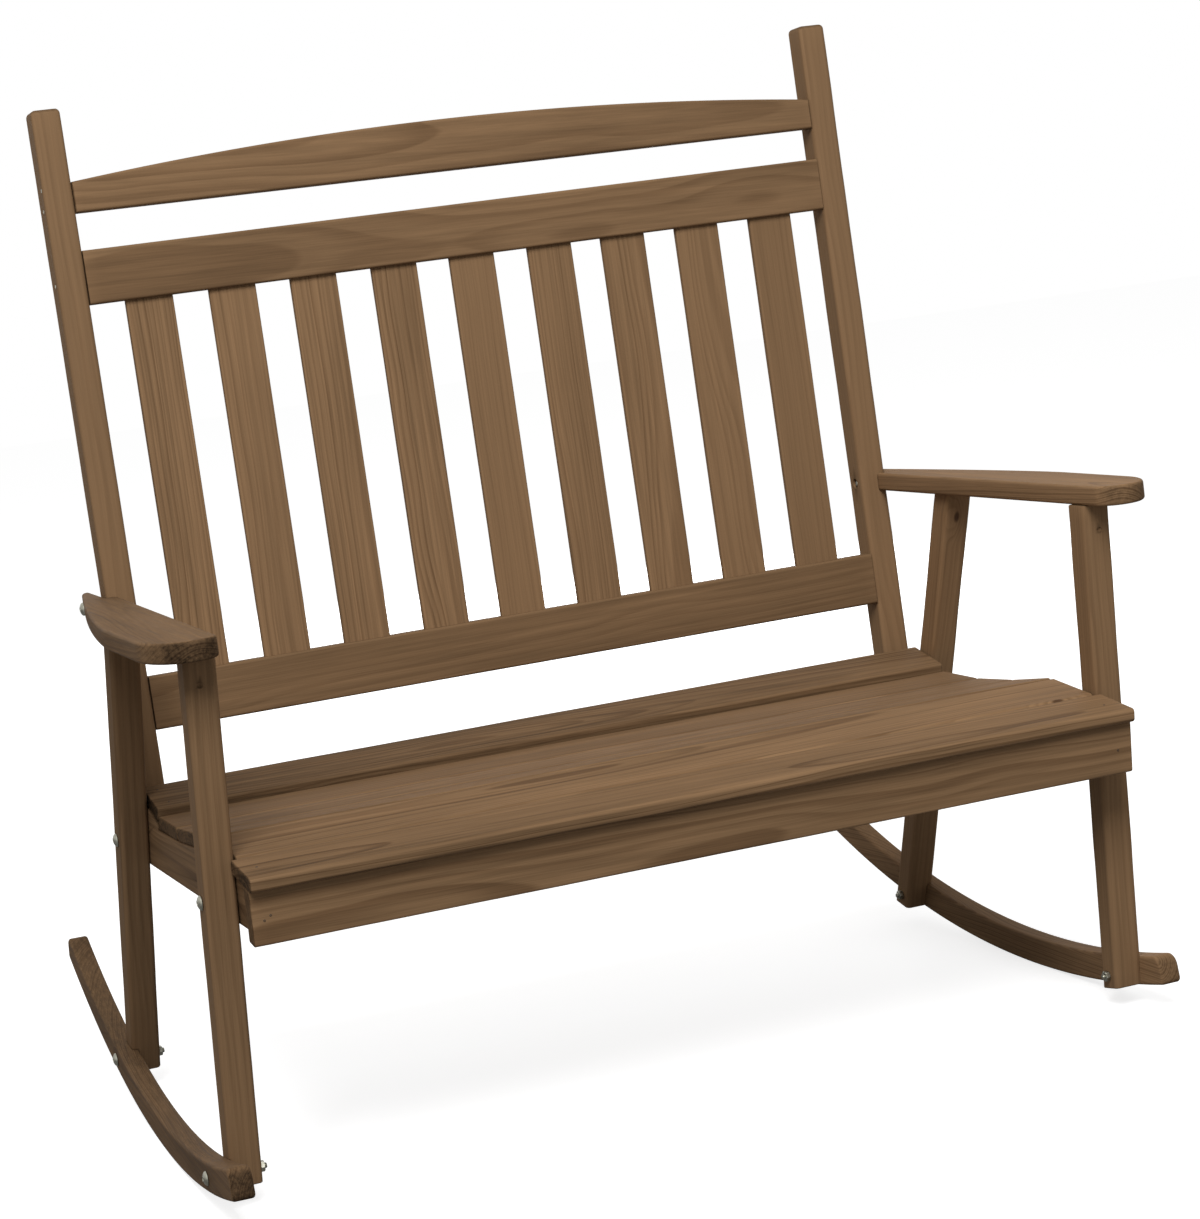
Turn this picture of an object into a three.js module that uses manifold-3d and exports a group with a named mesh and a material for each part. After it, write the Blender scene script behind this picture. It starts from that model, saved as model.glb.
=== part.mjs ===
// Two-seat rocking bench in stained pine: posts, legs and arms bolted side to side, slatted seat and back.
// Millimetres, +X to the right of someone facing the bench, +Y to the back, +Z up.
// The build frame has Y = 0 near the front feet and Z = 0 at the lowest line of the rockers.
// At the end the whole bench is tipped about X to where it balances on its rockers.
import * as THREE from "three";
import { mergeVertices } from "three/addons/utils/BufferGeometryUtils.js";
import Module from "manifold-3d";

const wasm = await Module();
wasm.setup();

const degrees = Math.PI / 180;

// Fits
const seatGap = 0.3; // between two pieces that bear on each other
const overrun = 6; // how far a cutting tool reaches past the face that it cuts

// Width of the frame: outer faces of the posts and of the seat side rails
const halfSpan = 510;

// Stock
const post = {
  thick: 35,
  depth: 40,
  ease: 6,
  lean: 7.5 * degrees,
  frontAtSeat: 480.924863, // y of the front face at the height of the seat
  length: 897.5,
  footBelowSeat: 119.6,
};
const leg = { thick: 35, depth: 36, ease: 6 };
const frontLeg = { frontAtSeat: -13.37728576, lean: -2.15 * degrees, splay: 1.42 * degrees };
const rearLeg = { frontAtSeat: 402.89654363, lean: -20.2 * degrees };
const footRise = 1.5; // legs end this far inside the rocker's running edge

// The two rockers are alike, but the right one sits further back along its arc
const rocker = {
  radius: 1647,
  height: 34.5,
  thick: 25,
  lowestY: 387,
  length: 1011,
  frontTipY: { left: -120, right: -51 },
  outset: 30.5, // from the posts' outer faces to the rocker's inner face, at its lowest point
  toe: 1.53 * degrees,
  topRounding: 15,
  bottomRounding: 6,
  ease: 3.5,
  curveSegments: 14,
};

const arm = {
  thick: 22.5,
  length: 686,
  slope: 4.85 * degrees,
  tipY: -75,
  aboveSeat: 225.9, // underside of the tip
  outset: 69, // widths are measured from the post's outer face
  frontInset: 3, // the inner edge lies this far inside that face at the tip
  postInset: 13, // and this far inside it in front of the post, which the arm is notched for
  frontCorner: 28, // rounding of the tip's inner corner
  frontRound: 78, // the tip rounds to the full width over this length
  straight: 265, // the outer edge is straight to here, and then draws in
  drawShare: 0.18,
  rearOutset: 18, // at the start of the rear end's rounding
  rearRound: 28,
  rearCorner: 7,
  ease: 4,
};

const rail = { thick: 25, height: 64, ease: 3 };
const lowerRailUp = 156; // along the post, from its foot
const upperRailDown = 232.5; // and from its top
const upperRailUp = post.length - upperRailDown;
const crest = {
  down: 126.5, // from the top of the post
  endHeight: 36.5,
  middleHeight: 62.5,
  skew: 2.7, // the left end sits this much higher than the middle, the right end as much lower
};

const backSlat = { width: 57.5, thick: 10, endGap: 45, housing: 10, ease: 2.5 };
// How far each back slat stands to the right of an even spacing, from left to right
const backSlatShifts = [-1.3, 0, 0.6, 2.6, 2.5, 4, 1.3, 0.9, 1.5];

const seat = { height: 409.6, thick: 16, gap: 1.5, endInset: 2, noseOverhang: 5, ease: 2.5 };
// From front to back: the nose slat is square to the front legs, the rest follow the dished side rails,
// and the rear slat sits a step higher, short of the posts
const seatSlats = [
  { name: "seat_nose_slat", width: 80, slope: -frontLeg.lean, step: 0 },
  { name: "seat_slat_2", width: 96.2, slope: 1.0 * degrees, step: 0 },
  { name: "seat_slat_3", width: 96.2, slope: -11.5 * degrees, step: 0 },
  { name: "seat_slat_4", width: 96.2, slope: -9.0 * degrees, step: 0 },
  { name: "seat_slat_5", width: 96.2, slope: -4.8 * degrees, step: 0 },
  { name: "seat_rear_slat", width: 77, slope: 7.2 * degrees, step: 9.2 },
];
const apron = { thick: 22, height: 60.8, setback: 11, ease: 3 };
const sideRail = { thick: 25, bottomSlope: -5.23 * degrees, frontDrop: 69.6 };
const stretcher = { thick: 22, height: 50, inset: 26, ease: 2 };

const bolt = {
  shank: 6.4,
  headWidth: 16,
  headHeight: 4.6,
  domeSteps: 4,
  nutAcross: 11,
  nutHeight: 5.5,
  tail: 3,
  sides: 18,
};
const counterbore = { width: 20, depth: 10 };
const spotFaceDepth = 0.5;

// Fineness of the curves, and the distance at which two corners count as one
const easeSteps = 2;
const cornerSteps = 2;
const armSteps = 7;
const crestSteps = 28;
const weldDistance = 1e-4;
const footPasses = 8; // enough for the search for a leg's foot to settle

// Densities only place the balance point
const wood = { density: 520, material: { color: 0x7e644a, roughness: 0.72, metalness: 0 } };
const steel = { density: 7850, material: { color: 0xb7bbbf, roughness: 0.34, metalness: 1 } };

// Side-plane frames: origin at (y, z), local Z leaning back by lean, local Y square to it towards the back
function sideFrame(y, z, lean) {
  return new THREE.Matrix4().makeRotationX(-lean).setPosition(0, y, z);
}

function atFloor(stock) {
  return sideFrame(stock.frontAtSeat - seat.height * Math.tan(stock.lean), 0, stock.lean);
}

function pointIn(frame, back, up) {
  const v = new THREE.Vector3(0, back, up).applyMatrix4(frame);
  return { y: v.y, z: v.z };
}

// A straight line in the side plane, as a point and a direction
function line(y, z, slope) {
  return { y, z, dy: Math.cos(slope), dz: Math.sin(slope) };
}

function lineUp(frame, back) {
  const a = pointIn(frame, back, 0);
  const b = pointIn(frame, back, 1);
  return { y: a.y, z: a.z, dy: b.y - a.y, dz: b.z - a.z };
}

function meet(a, b) {
  const cross = a.dy * b.dz - a.dz * b.dy;
  const t = ((b.y - a.y) * b.dz - (b.z - a.z) * b.dy) / cross;
  return { y: a.y + t * a.dy, z: a.z + t * a.dz };
}

// Solids
function toSolid(geometry) {
  const bare = geometry.clone();
  bare.deleteAttribute("normal");
  bare.deleteAttribute("uv");
  const merged = mergeVertices(bare, weldDistance);
  return new wasm.Manifold(
    new wasm.Mesh({
      numProp: 3,
      vertProperties: new Float32Array(merged.attributes.position.array),
      triVerts: new Uint32Array(merged.index.array),
    }),
  );
}

function toGeometry(solid) {
  const mesh = solid.getMesh();
  const geometry = new THREE.BufferGeometry();
  geometry.setAttribute("position", new THREE.BufferAttribute(mesh.vertProperties, 3));
  geometry.setIndex(new THREE.BufferAttribute(mesh.triVerts, 1));
  return geometry;
}

// Cuts tools, given in the build frame, from a piece that stands at the given matrix
function carve(geometry, matrix, tools) {
  const inverse = matrix.clone().invert();
  let solid = toSolid(geometry);
  for (const tool of tools) solid = solid.subtract(toSolid(tool.clone().applyMatrix4(inverse)));
  return toGeometry(solid);
}

function makeMesh(name, geometry, matrix, stock) {
  const shaded = geometry.index ? geometry.toNonIndexed() : geometry.clone();
  shaded.computeVertexNormals();
  const mesh = new THREE.Mesh(shaded, new THREE.MeshStandardMaterial(stock.material));
  mesh.name = name;
  mesh.userData.density = stock.density;
  matrix.decompose(mesh.position, mesh.quaternion, mesh.scale);
  return mesh;
}

function roundedRectangle(width, depth, radius) {
  const w = width / 2;
  const d = depth / 2;
  const shape = new THREE.Shape();
  shape.moveTo(radius - w, -d);
  shape.lineTo(w - radius, -d);
  shape.absarc(w - radius, radius - d, radius, -Math.PI / 2, 0, false);
  shape.lineTo(w, d - radius);
  shape.absarc(w - radius, d - radius, radius, 0, Math.PI / 2, false);
  shape.lineTo(radius - w, d);
  shape.absarc(radius - w, d - radius, radius, Math.PI / 2, Math.PI, false);
  shape.lineTo(-w, radius - d);
  shape.absarc(radius - w, radius - d, radius, Math.PI, 1.5 * Math.PI, false);
  return shape;
}

// Extrudes a flat shape to an exact thickness, with its rim eased all round
function easedPlate(shape, thick, ease, curveSegments) {
  const geometry = new THREE.ExtrudeGeometry(shape, {
    depth: thick - 2 * ease,
    bevelThickness: ease,
    bevelSize: ease,
    bevelOffset: -ease,
    bevelSegments: easeSteps,
    curveSegments,
  });
  return geometry.translate(0, 0, ease);
}

// A straight bar along Z from 0 to length, X and Y centred on the section
function bar(width, depth, length, ease) {
  return easedPlate(roundedRectangle(width, depth, ease), length, ease / 2, cornerSteps);
}

// A board along X, centred, with Y from 0 to thick and Z from 0 to height
function board(length, thick, height, ease) {
  return bar(height, thick, length, ease)
    .translate(-height / 2, thick / 2, -length / 2)
    .rotateY(Math.PI / 2);
}

// A flat outline in the side plane, given as y and z points, from x to x + thick
function sidePlate(points, x, thick, ease) {
  const shape = new THREE.Shape(points.map((p) => new THREE.Vector2(p.y, p.z)));
  const sideways = new THREE.Matrix4().makeBasis(
    new THREE.Vector3(0, 1, 0),
    new THREE.Vector3(0, 0, 1),
    new THREE.Vector3(1, 0, 0),
  );
  return easedPlate(shape, thick, ease, 1).applyMatrix4(sideways).translate(x, 0, 0);
}

// A plain cylinder along X from x0 to x1
function drill(y, z, width, x0, x1) {
  return new THREE.CylinderGeometry(width / 2, width / 2, x1 - x0, bolt.sides)
    .rotateZ(Math.PI / 2)
    .translate((x0 + x1) / 2, y, z);
}

// A large block above (side = 1) or below (side = -1) the local Z = 0 plane of a frame
function halfSpace(frame, side) {
  const reach = 2 * post.length;
  return new THREE.BoxGeometry(reach, reach, reach)
    .translate(halfSpan, 0, (side * reach) / 2)
    .applyMatrix4(frame);
}

// Seat line: each slat's front top edge, its frame and its slope
function seatFrames() {
  const frontFace = lineUp(atFloor(frontLeg), -seatGap);
  const nose = seatSlats[0];
  const noseBack = meet(frontFace, line(0, seat.height, 0));
  const frames = [];
  let y = noseBack.y - nose.width * Math.cos(nose.slope);
  let z = noseBack.z - nose.width * Math.sin(nose.slope);
  let before = nose;
  for (const slat of seatSlats) {
    if (slat !== nose) {
      const turn = (before.slope + slat.slope) / 2;
      // Over a ridge the undersides lean together, so the tops stand further apart
      const gap = seat.gap + Math.max(0, seat.thick * Math.sin(before.slope - slat.slope));
      y += before.width * Math.cos(before.slope) + gap * Math.cos(turn);
      z += before.width * Math.sin(before.slope) + gap * Math.sin(turn) + slat.step;
    }
    frames.push({ ...slat, y, z, frame: sideFrame(y, z, -slat.slope) });
    before = slat;
  }
  return frames;
}

const slatPlaces = seatFrames();
const noseFrame = slatPlaces[0].frame;
const rearSlatFrame = slatPlaces[slatPlaces.length - 1].frame;

// Undersides of the seat slats, as lines, front to back
const undersides = slatPlaces.map((slat) => {
  const under = pointIn(slat.frame, 0, -seat.thick - seatGap);
  return line(under.y, under.z, slat.slope);
});

// Profile of a seat bearer between two side-plane lines that close its ends
function bearerProfile(frontEnd, rearEnd) {
  const frontY = pointIn(noseFrame, apron.setback + apron.thick, 0).y;
  const bottom = line(frontY, seat.height - sideRail.frontDrop, sideRail.bottomSlope);
  const top = [meet(undersides[0], frontEnd)];
  slatPlaces.forEach((slat, i) => {
    if (i === 0) return;
    const gapMiddle = line(slat.y - seat.gap / 2, 0, Math.PI / 2);
    if (slat.step > 0) top.push(meet(undersides[i - 1], gapMiddle), meet(undersides[i], gapMiddle));
    else top.push(meet(undersides[i - 1], undersides[i]));
  });
  top.push(meet(undersides[undersides.length - 1], rearEnd));
  return [meet(bottom, frontEnd), meet(bottom, rearEnd), ...top.reverse()];
}

const apronBack = lineUp(noseFrame, apron.setback + apron.thick + seatGap);
const postFront = lineUp(atFloor(post), -seatGap);

// Frames of the sloping members
const postFoot = pointIn(atFloor(post), 0, (seat.height - post.footBelowSeat) / Math.cos(post.lean));
const postFrame = sideFrame(postFoot.y, postFoot.z, post.lean);
const armTip = { y: arm.tipY, z: seat.height + arm.aboveSeat };
const armFrame = sideFrame(armTip.y, armTip.z, arm.slope);
const rockerCentre = { y: rocker.lowestY, z: rocker.radius };

// Height of the rocker's running edge, or of an arc a little inside it, at a given y
function rockerArc(y, inside) {
  const r = rocker.radius - inside;
  return rockerCentre.z - Math.sqrt(r * r - (y - rockerCentre.y) ** 2);
}

// Where a leg's middle line crosses the rocker's middle line
function footPoint(stock) {
  const middle = lineUp(atFloor(stock), leg.depth / 2);
  const middleY = (z) => middle.y + (middle.dy / middle.dz) * (z - middle.z);
  let z = 0;
  for (let i = 0; i < footPasses; i++) z = rockerArc(middleY(z), rocker.height / 2);
  return { y: middleY(z), z };
}

function rockerMatrix() {
  return new THREE.Matrix4()
    .makeRotationZ(rocker.toe)
    .setPosition(halfSpan + rocker.outset + rocker.lowestY * Math.sin(rocker.toe), 0, 0);
}

function rockerX(y, outward) {
  return halfSpan + rocker.outset - (y - rocker.lowestY) * Math.tan(rocker.toe) + outward;
}

// Rocker: a ring sector with rounded tips, grown by a clearance when it is a cutting tool
function rockerGeometry(side, grow) {
  const inner = rocker.radius - rocker.height - grow;
  const outer = rocker.radius + grow;
  const front = Math.asin((rocker.frontTipY[side] - rockerCentre.y) / rocker.radius) - Math.PI / 2;
  const rear = front + rocker.length / rocker.radius;
  const at = (radius, angle) => new THREE.Vector2(
    rockerCentre.y + radius * Math.cos(angle),
    rockerCentre.z + radius * Math.sin(angle),
  );
  const shape = new THREE.Shape();
  const top = rocker.topRounding;
  const low = rocker.bottomRounding;
  shape.moveTo(...at(outer, front + low / outer).toArray());
  shape.absarc(rockerCentre.y, rockerCentre.z, outer, front + low / outer, rear - low / outer, false);
  shape.quadraticCurveTo(...at(outer, rear).toArray(), ...at(outer - low, rear).toArray());
  shape.lineTo(...at(inner + top, rear).toArray());
  shape.quadraticCurveTo(...at(inner, rear).toArray(), ...at(inner, rear - top / inner).toArray());
  shape.absarc(rockerCentre.y, rockerCentre.z, inner, rear - top / inner, front + top / inner, true);
  shape.quadraticCurveTo(...at(inner, front).toArray(), ...at(inner + top, front).toArray());
  shape.lineTo(...at(outer - low, front).toArray());
  shape.quadraticCurveTo(...at(outer, front).toArray(), ...at(outer, front + low / outer).toArray());
  const points = shape.getPoints(rocker.curveSegments).map((p) => ({ y: p.x, z: p.y }));
  points.pop();
  const ease = grow > 0 ? 0 : rocker.ease;
  return sidePlate(points, -grow, rocker.thick + 2 * grow, ease);
}

// Arm outline seen from above: x outwards from beside the post, y back from the tip
function armOutline() {
  const shape = new THREE.Shape();
  const inner = -arm.frontInset;
  const nose = arm.frontCorner + inner;
  const tail = arm.rearCorner;
  const outer = arm.rearOutset;
  const roundStart = arm.length - arm.rearRound;
  const draw = (roundStart - arm.straight) * arm.drawShare;
  const notch = arm.length - armPostReach();
  shape.moveTo(nose, 0);
  shape.absellipse(nose, arm.frontRound, arm.outset - nose, arm.frontRound, -Math.PI / 2, 0, false);
  shape.lineTo(arm.outset, arm.straight);
  shape.bezierCurveTo(arm.outset, arm.straight + draw, outer, roundStart - draw, outer, roundStart);
  shape.absellipse(tail, roundStart, outer - tail, arm.rearRound, 0, Math.PI / 2, false);
  shape.quadraticCurveTo(0, arm.length, 0, arm.length - tail);
  shape.lineTo(0, notch);
  shape.lineTo(-arm.postInset, notch);
  shape.lineTo(inner, arm.frontCorner);
  shape.quadraticCurveTo(inner, 0, nose, 0);
  return shape;
}

// Length of arm that runs along the post's outer face
function armPostReach() {
  const frontFace = lineUp(atFloor(post), 0);
  const crossing = meet(frontFace, line(armTip.y, armTip.z, -arm.slope));
  return arm.length - (crossing.y - armTip.y) / Math.cos(arm.slope) + seatGap;
}

function armGeometry() {
  return easedPlate(armOutline(), arm.thick, arm.ease, armSteps);
}

const armX = halfSpan + seatGap;

// Arm bolt: middle of the post's depth, middle of the arm's thickness
const armMiddle = pointIn(armFrame, 0, arm.thick / 2);
const armBolt = meet(lineUp(atFloor(post), post.depth / 2), line(armMiddle.y, armMiddle.z, -arm.slope));

// Side bolts through a leg and the seat side rail, on the leg's middle line at the rail's mid height
function railBolt(stock) {
  const middle = lineUp(atFloor(stock), leg.depth / 2);
  const profile = bearerProfile(apronBack, postFront);
  const low = meet(middle, line(profile[0].y, profile[0].z, sideRail.bottomSlope));
  const high = meet(middle, undersides[stock === frontLeg ? 1 : undersides.length - 1]);
  return { y: (low.y + high.y) / 2, z: (low.z + high.z) / 2 };
}

const bolts = {
  rearLegBolt: railBolt(rearLeg),
  frontLegBolt: railBolt(frontLeg),
  rearRockerBolt: footPoint(rearLeg),
  frontRockerBolt: footPoint(frontLeg),
};

// Inner face of the front leg at a height: it leans out towards the foot from the top of the side rail
const splayPivot = { y: 0, z: seat.height - seat.thick };

function frontLegInnerX(z) {
  return halfSpan + seatGap + (splayPivot.z - z) * Math.tan(frontLeg.splay);
}

// Legs
function legMesh(name, stock, matrix, tools) {
  const reach = (armTip.z + post.depth) / Math.cos(stock.lean);
  const geometry = bar(leg.thick, leg.depth, reach, leg.ease)
    .translate(leg.thick / 2, leg.depth / 2, 0);
  return makeMesh(name, carve(geometry, matrix, tools), matrix, wood);
}

function underArm() {
  const fit = new THREE.Matrix4().makeTranslation(0, 0, -seatGap);
  return halfSpace(armFrame.clone().multiply(fit), 1);
}

function belowFoot(point) {
  const angle = Math.asin((point.y - rockerCentre.y) / rocker.radius);
  const inside = rocker.radius - footRise;
  const y = rockerCentre.y + inside * Math.sin(angle);
  const z = rockerCentre.z - inside * Math.cos(angle);
  return halfSpace(sideFrame(y, z, -angle), -1);
}

function frontLegMatrix() {
  const lean = atFloor(frontLeg);
  const tip = new THREE.Matrix4().makeRotationY(-frontLeg.splay);
  const footX = frontLegInnerX(0);
  return new THREE.Matrix4().makeTranslation(footX, 0, 0).multiply(tip).multiply(lean);
}

function rearLegMatrix() {
  return new THREE.Matrix4().makeTranslation(halfSpan + seatGap, 0, 0).multiply(atFloor(rearLeg));
}

function clearHole(point, x0, x1) {
  return drill(point.y, point.z, bolt.shank + 2 * seatGap, x0, x1);
}

const legReachX = halfSpan + 2 * leg.thick;
const rockerTool = rockerGeometry("left", seatGap).applyMatrix4(rockerMatrix());

function frontLegMesh(name) {
  const tools = [
    underArm(),
    belowFoot(bolts.frontRockerBolt),
    rockerTool,
    clearHole(bolts.frontRockerBolt, halfSpan - overrun, legReachX),
    clearHole(bolts.frontLegBolt, halfSpan - overrun, legReachX),
  ];
  return legMesh(name, frontLeg, frontLegMatrix(), tools);
}

function rearLegMesh(name) {
  const tools = [
    underArm(),
    belowFoot(bolts.rearRockerBolt),
    rockerTool,
    clearHole(bolts.rearRockerBolt, halfSpan - overrun, legReachX),
    clearHole(bolts.rearLegBolt, halfSpan - overrun, legReachX),
  ];
  return legMesh(name, rearLeg, rearLegMatrix(), tools);
}

function postMesh(name) {
  const inner = halfSpan - post.thick;
  const matrix = new THREE.Matrix4().makeTranslation(inner, 0, 0).multiply(postFrame);
  const geometry = bar(post.thick, post.depth, post.length, post.ease)
    .translate(post.thick / 2, post.depth / 2, 0);
  const tools = [
    clearHole(armBolt, inner - overrun, halfSpan + overrun),
    drill(armBolt.y, armBolt.z, counterbore.width, inner - overrun, inner + counterbore.depth),
  ];
  return makeMesh(name, carve(geometry, matrix, tools), matrix, wood);
}

function armMesh(name) {
  const matrix = new THREE.Matrix4().makeTranslation(armX, 0, 0).multiply(armFrame);
  const tools = [
    clearHole(armBolt, armX - overrun, armX + arm.outset),
    drill(armBolt.y, armBolt.z, bolt.headWidth + 2 * seatGap, armBoltSeat, armX + arm.outset),
  ];
  return makeMesh(name, carve(armGeometry(), matrix, tools), matrix, wood);
}

// X of the flat that the arm bolt's head bears on
const armBoltSeat = armX + arm.rearOutset - spotFaceDepth;

function rockerMesh(side) {
  const matrix = rockerMatrix();
  const ends = [halfSpan, legReachX];
  const tools = [bolts.frontRockerBolt, bolts.rearRockerBolt].map((point) => clearHole(point, ...ends));
  return makeMesh(side + "_rocker", carve(rockerGeometry(side, 0), matrix, tools), matrix, wood);
}

function sideRailMesh(name) {
  const profile = bearerProfile(apronBack, postFront);
  const geometry = sidePlate(profile, halfSpan - sideRail.thick, sideRail.thick, rail.ease / 2);
  const ends = [halfSpan - sideRail.thick - overrun, halfSpan + overrun];
  const tools = [bolts.frontLegBolt, bolts.rearLegBolt].map((point) => clearHole(point, ...ends));
  const here = new THREE.Matrix4();
  return makeMesh(name, carve(geometry, here, tools), here, wood);
}

// A domed bolt along X: its head bears at x = seatX and its shank runs inwards to endX
function boltMesh(name, point, seatX, endX) {
  const r = bolt.shank / 2;
  const head = bolt.headWidth / 2;
  const dome = Array.from({ length: bolt.domeSteps + 1 }, (_, i) => {
    const angle = (i / bolt.domeSteps) * (Math.PI / 2);
    return new THREE.Vector2(head * Math.cos(angle), bolt.headHeight * Math.sin(angle) + seatGap);
  });
  dome[dome.length - 1].x = 0;
  const profile = [
    new THREE.Vector2(0, endX - seatX),
    new THREE.Vector2(r, endX - seatX),
    new THREE.Vector2(r, seatGap),
    ...dome,
  ];
  const geometry = new THREE.LatheGeometry(profile, bolt.sides).rotateZ(-Math.PI / 2);
  const matrix = new THREE.Matrix4().makeTranslation(seatX, point.y, point.z);
  return makeMesh(name, toGeometry(toSolid(geometry)), matrix, steel);
}

// A hexagon nut on the bolt's inner end, bearing on a face at seatX
function nutMesh(name, point, seatX) {
  const corner = bolt.nutAcross / Math.sqrt(3);
  const geometry = new THREE.CylinderGeometry(corner, corner, bolt.nutHeight, 6)
    .rotateZ(Math.PI / 2)
    .translate(-bolt.nutHeight / 2 - seatGap, 0, 0);
  const matrix = new THREE.Matrix4().makeTranslation(seatX, point.y, point.z);
  const boreStart = seatX - 2 * bolt.nutHeight;
  const bore = drill(point.y, point.z, bolt.shank + 2 * seatGap, boreStart, seatX + overrun);
  return makeMesh(name, carve(geometry, matrix, [bore]), matrix, steel);
}

function boltAndNut(name, point, headX, nutX) {
  return [
    boltMesh(name + "_bolt", point, headX, nutX - bolt.nutHeight - bolt.tail),
    nutMesh(name + "_nut", point, nutX),
  ];
}

// Room for a bolt's flat head or nut where the face that it bears on is a little skew
const toeSlack = (bolt.headWidth / 2) * Math.tan(rocker.toe);
const splaySlack = (bolt.headWidth / 2) * Math.tan(frontLeg.splay);

// One side of the bench, drawn as the right-hand side
function sideAssembly(side) {
  const group = new THREE.Group();
  const railInner = halfSpan - sideRail.thick;
  const front = bolts.frontRockerBolt;
  const rear = bolts.rearRockerBolt;
  group.add(
    postMesh(side + "_back_post"),
    frontLegMesh(side + "_front_leg"),
    rearLegMesh(side + "_rear_leg"),
    rockerMesh(side),
    armMesh(side + "_arm"),
    sideRailMesh(side + "_seat_side_rail"),
    ...boltAndNut(
      side + "_rocker_front",
      front,
      rockerX(front.y, rocker.thick / Math.cos(rocker.toe)) + toeSlack,
      frontLegInnerX(front.z) - splaySlack,
    ),
    ...boltAndNut(
      side + "_rocker_rear",
      rear,
      rockerX(rear.y, rocker.thick / Math.cos(rocker.toe)) + toeSlack,
      halfSpan + seatGap,
    ),
    ...boltAndNut(
      side + "_front_leg",
      bolts.frontLegBolt,
      frontLegInnerX(bolts.frontLegBolt.z) + leg.thick / Math.cos(frontLeg.splay) + splaySlack,
      railInner,
    ),
    ...boltAndNut(side + "_rear_leg", bolts.rearLegBolt, halfSpan + seatGap + leg.thick, railInner),
    ...boltAndNut(side + "_arm", armBolt, armBoltSeat, halfSpan - post.thick + counterbore.depth),
  );
  return group;
}

// Back rails, between the posts
const railLength = 2 * (halfSpan - post.thick - seatGap);
const slatSpan = 2 * (halfSpan - post.thick - backSlat.endGap) - backSlat.width;
const slatPitch = slatSpan / (backSlatShifts.length - 1);
const backSlatXs = backSlatShifts.map((shift, i) => i * slatPitch - slatSpan / 2 + shift);

function housings(z0, z1) {
  return backSlatXs.map((x) =>
    new THREE.BoxGeometry(backSlat.width + 2 * seatGap, backSlat.thick + 2 * seatGap, z1 - z0)
      .translate(x, rail.thick / 2, (z0 + z1) / 2)
      .applyMatrix4(postFrame),
  );
}

function backRail(name, up, tools) {
  const geometry = board(railLength, rail.thick, rail.height, rail.ease).translate(0, 0, up);
  return makeMesh(name, carve(geometry, postFrame, tools), postFrame, wood);
}

function crestRail() {
  const half = railLength / 2;
  const arch = 2 * crest.middleHeight - crest.endHeight; // height where the lines of the arch's ends meet
  const shape = new THREE.Shape();
  shape.moveTo(-half, crest.skew);
  shape.lineTo(half, -crest.skew);
  shape.lineTo(half, crest.endHeight - crest.skew);
  shape.quadraticCurveTo(0, arch, -half, crest.endHeight + crest.skew);
  const geometry = easedPlate(shape, rail.thick, rail.ease, crestSteps)
    .rotateX(Math.PI / 2)
    .translate(0, rail.thick, post.length - crest.down);
  return makeMesh("crest_rail", toGeometry(toSolid(geometry)), postFrame, wood);
}

function backSlats() {
  const low = lowerRailUp + rail.height - backSlat.housing;
  const length = upperRailUp + backSlat.housing - low;
  return backSlatXs.map((x, i) => {
    const geometry = bar(backSlat.width, backSlat.thick, length, backSlat.ease)
      .translate(x, rail.thick / 2, low);
    return makeMesh("back_slat_" + (i + 1), geometry, postFrame, wood);
  });
}

function backAssembly() {
  const group = new THREE.Group();
  const lowerTop = lowerRailUp + rail.height;
  const depth = backSlat.housing + seatGap;
  group.add(
    crestRail(),
    backRail("upper_back_rail", upperRailUp, housings(upperRailUp - overrun, upperRailUp + depth)),
    backRail("lower_back_rail", lowerRailUp, housings(lowerTop - depth, lowerTop + overrun)),
    ...backSlats(),
  );
  return group;
}

// Seat boards: the slats, the front apron, the rear stretcher and the middle bearer
function seatAssembly() {
  const group = new THREE.Group();
  const noseHalfLength = halfSpan + seat.noseOverhang;
  for (const slat of slatPlaces) {
    const halfLength = slat === slatPlaces[0] ? noseHalfLength : halfSpan - seat.endInset;
    const geometry = bar(seat.thick, slat.width, 2 * halfLength, seat.ease)
      .rotateY(Math.PI / 2)
      .translate(-halfLength, slat.width / 2, -seat.thick / 2);
    group.add(makeMesh(slat.name, geometry, slat.frame, wood));
  }
  const under = -seat.thick - seatGap;
  const apronBoard = board(2 * noseHalfLength, apron.thick, apron.height, apron.ease)
    .translate(0, apron.setback, under - apron.height);
  group.add(makeMesh("front_apron", apronBoard, noseFrame, wood));
  const innerLength = 2 * (halfSpan - sideRail.thick - seatGap);
  const stretcherBoard = board(innerLength, stretcher.thick, stretcher.height, stretcher.ease)
    .translate(0, stretcher.inset, under - stretcher.height);
  group.add(makeMesh("rear_stretcher", stretcherBoard, rearSlatFrame, wood));
  const stretcherFront = lineUp(rearSlatFrame, stretcher.inset - seatGap);
  const bearer = sidePlate(
    bearerProfile(apronBack, stretcherFront),
    -sideRail.thick / 2,
    sideRail.thick,
    rail.ease / 2,
  );
  group.add(makeMesh("middle_bearer", bearer, new THREE.Matrix4(), wood));
  return group;
}

// Mass and first moment of a mesh, by signed tetrahedra from the origin
function massOf(mesh) {
  const p = mesh.geometry.attributes.position;
  const corner = [new THREE.Vector3(), new THREE.Vector3(), new THREE.Vector3()];
  const moment = new THREE.Vector3();
  const sign = Math.sign(mesh.matrixWorld.determinant());
  let volume = 0;
  for (let i = 0; i < p.count; i += 3) {
    corner.forEach((v, k) => v.fromBufferAttribute(p, i + k).applyMatrix4(mesh.matrixWorld));
    const six = sign * corner[0].dot(corner[1].clone().cross(corner[2]));
    volume += six / 6;
    corner.forEach((v) => moment.addScaledVector(v, six / 24));
  }
  return { mass: volume * mesh.userData.density, moment: moment.multiplyScalar(mesh.userData.density) };
}

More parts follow.
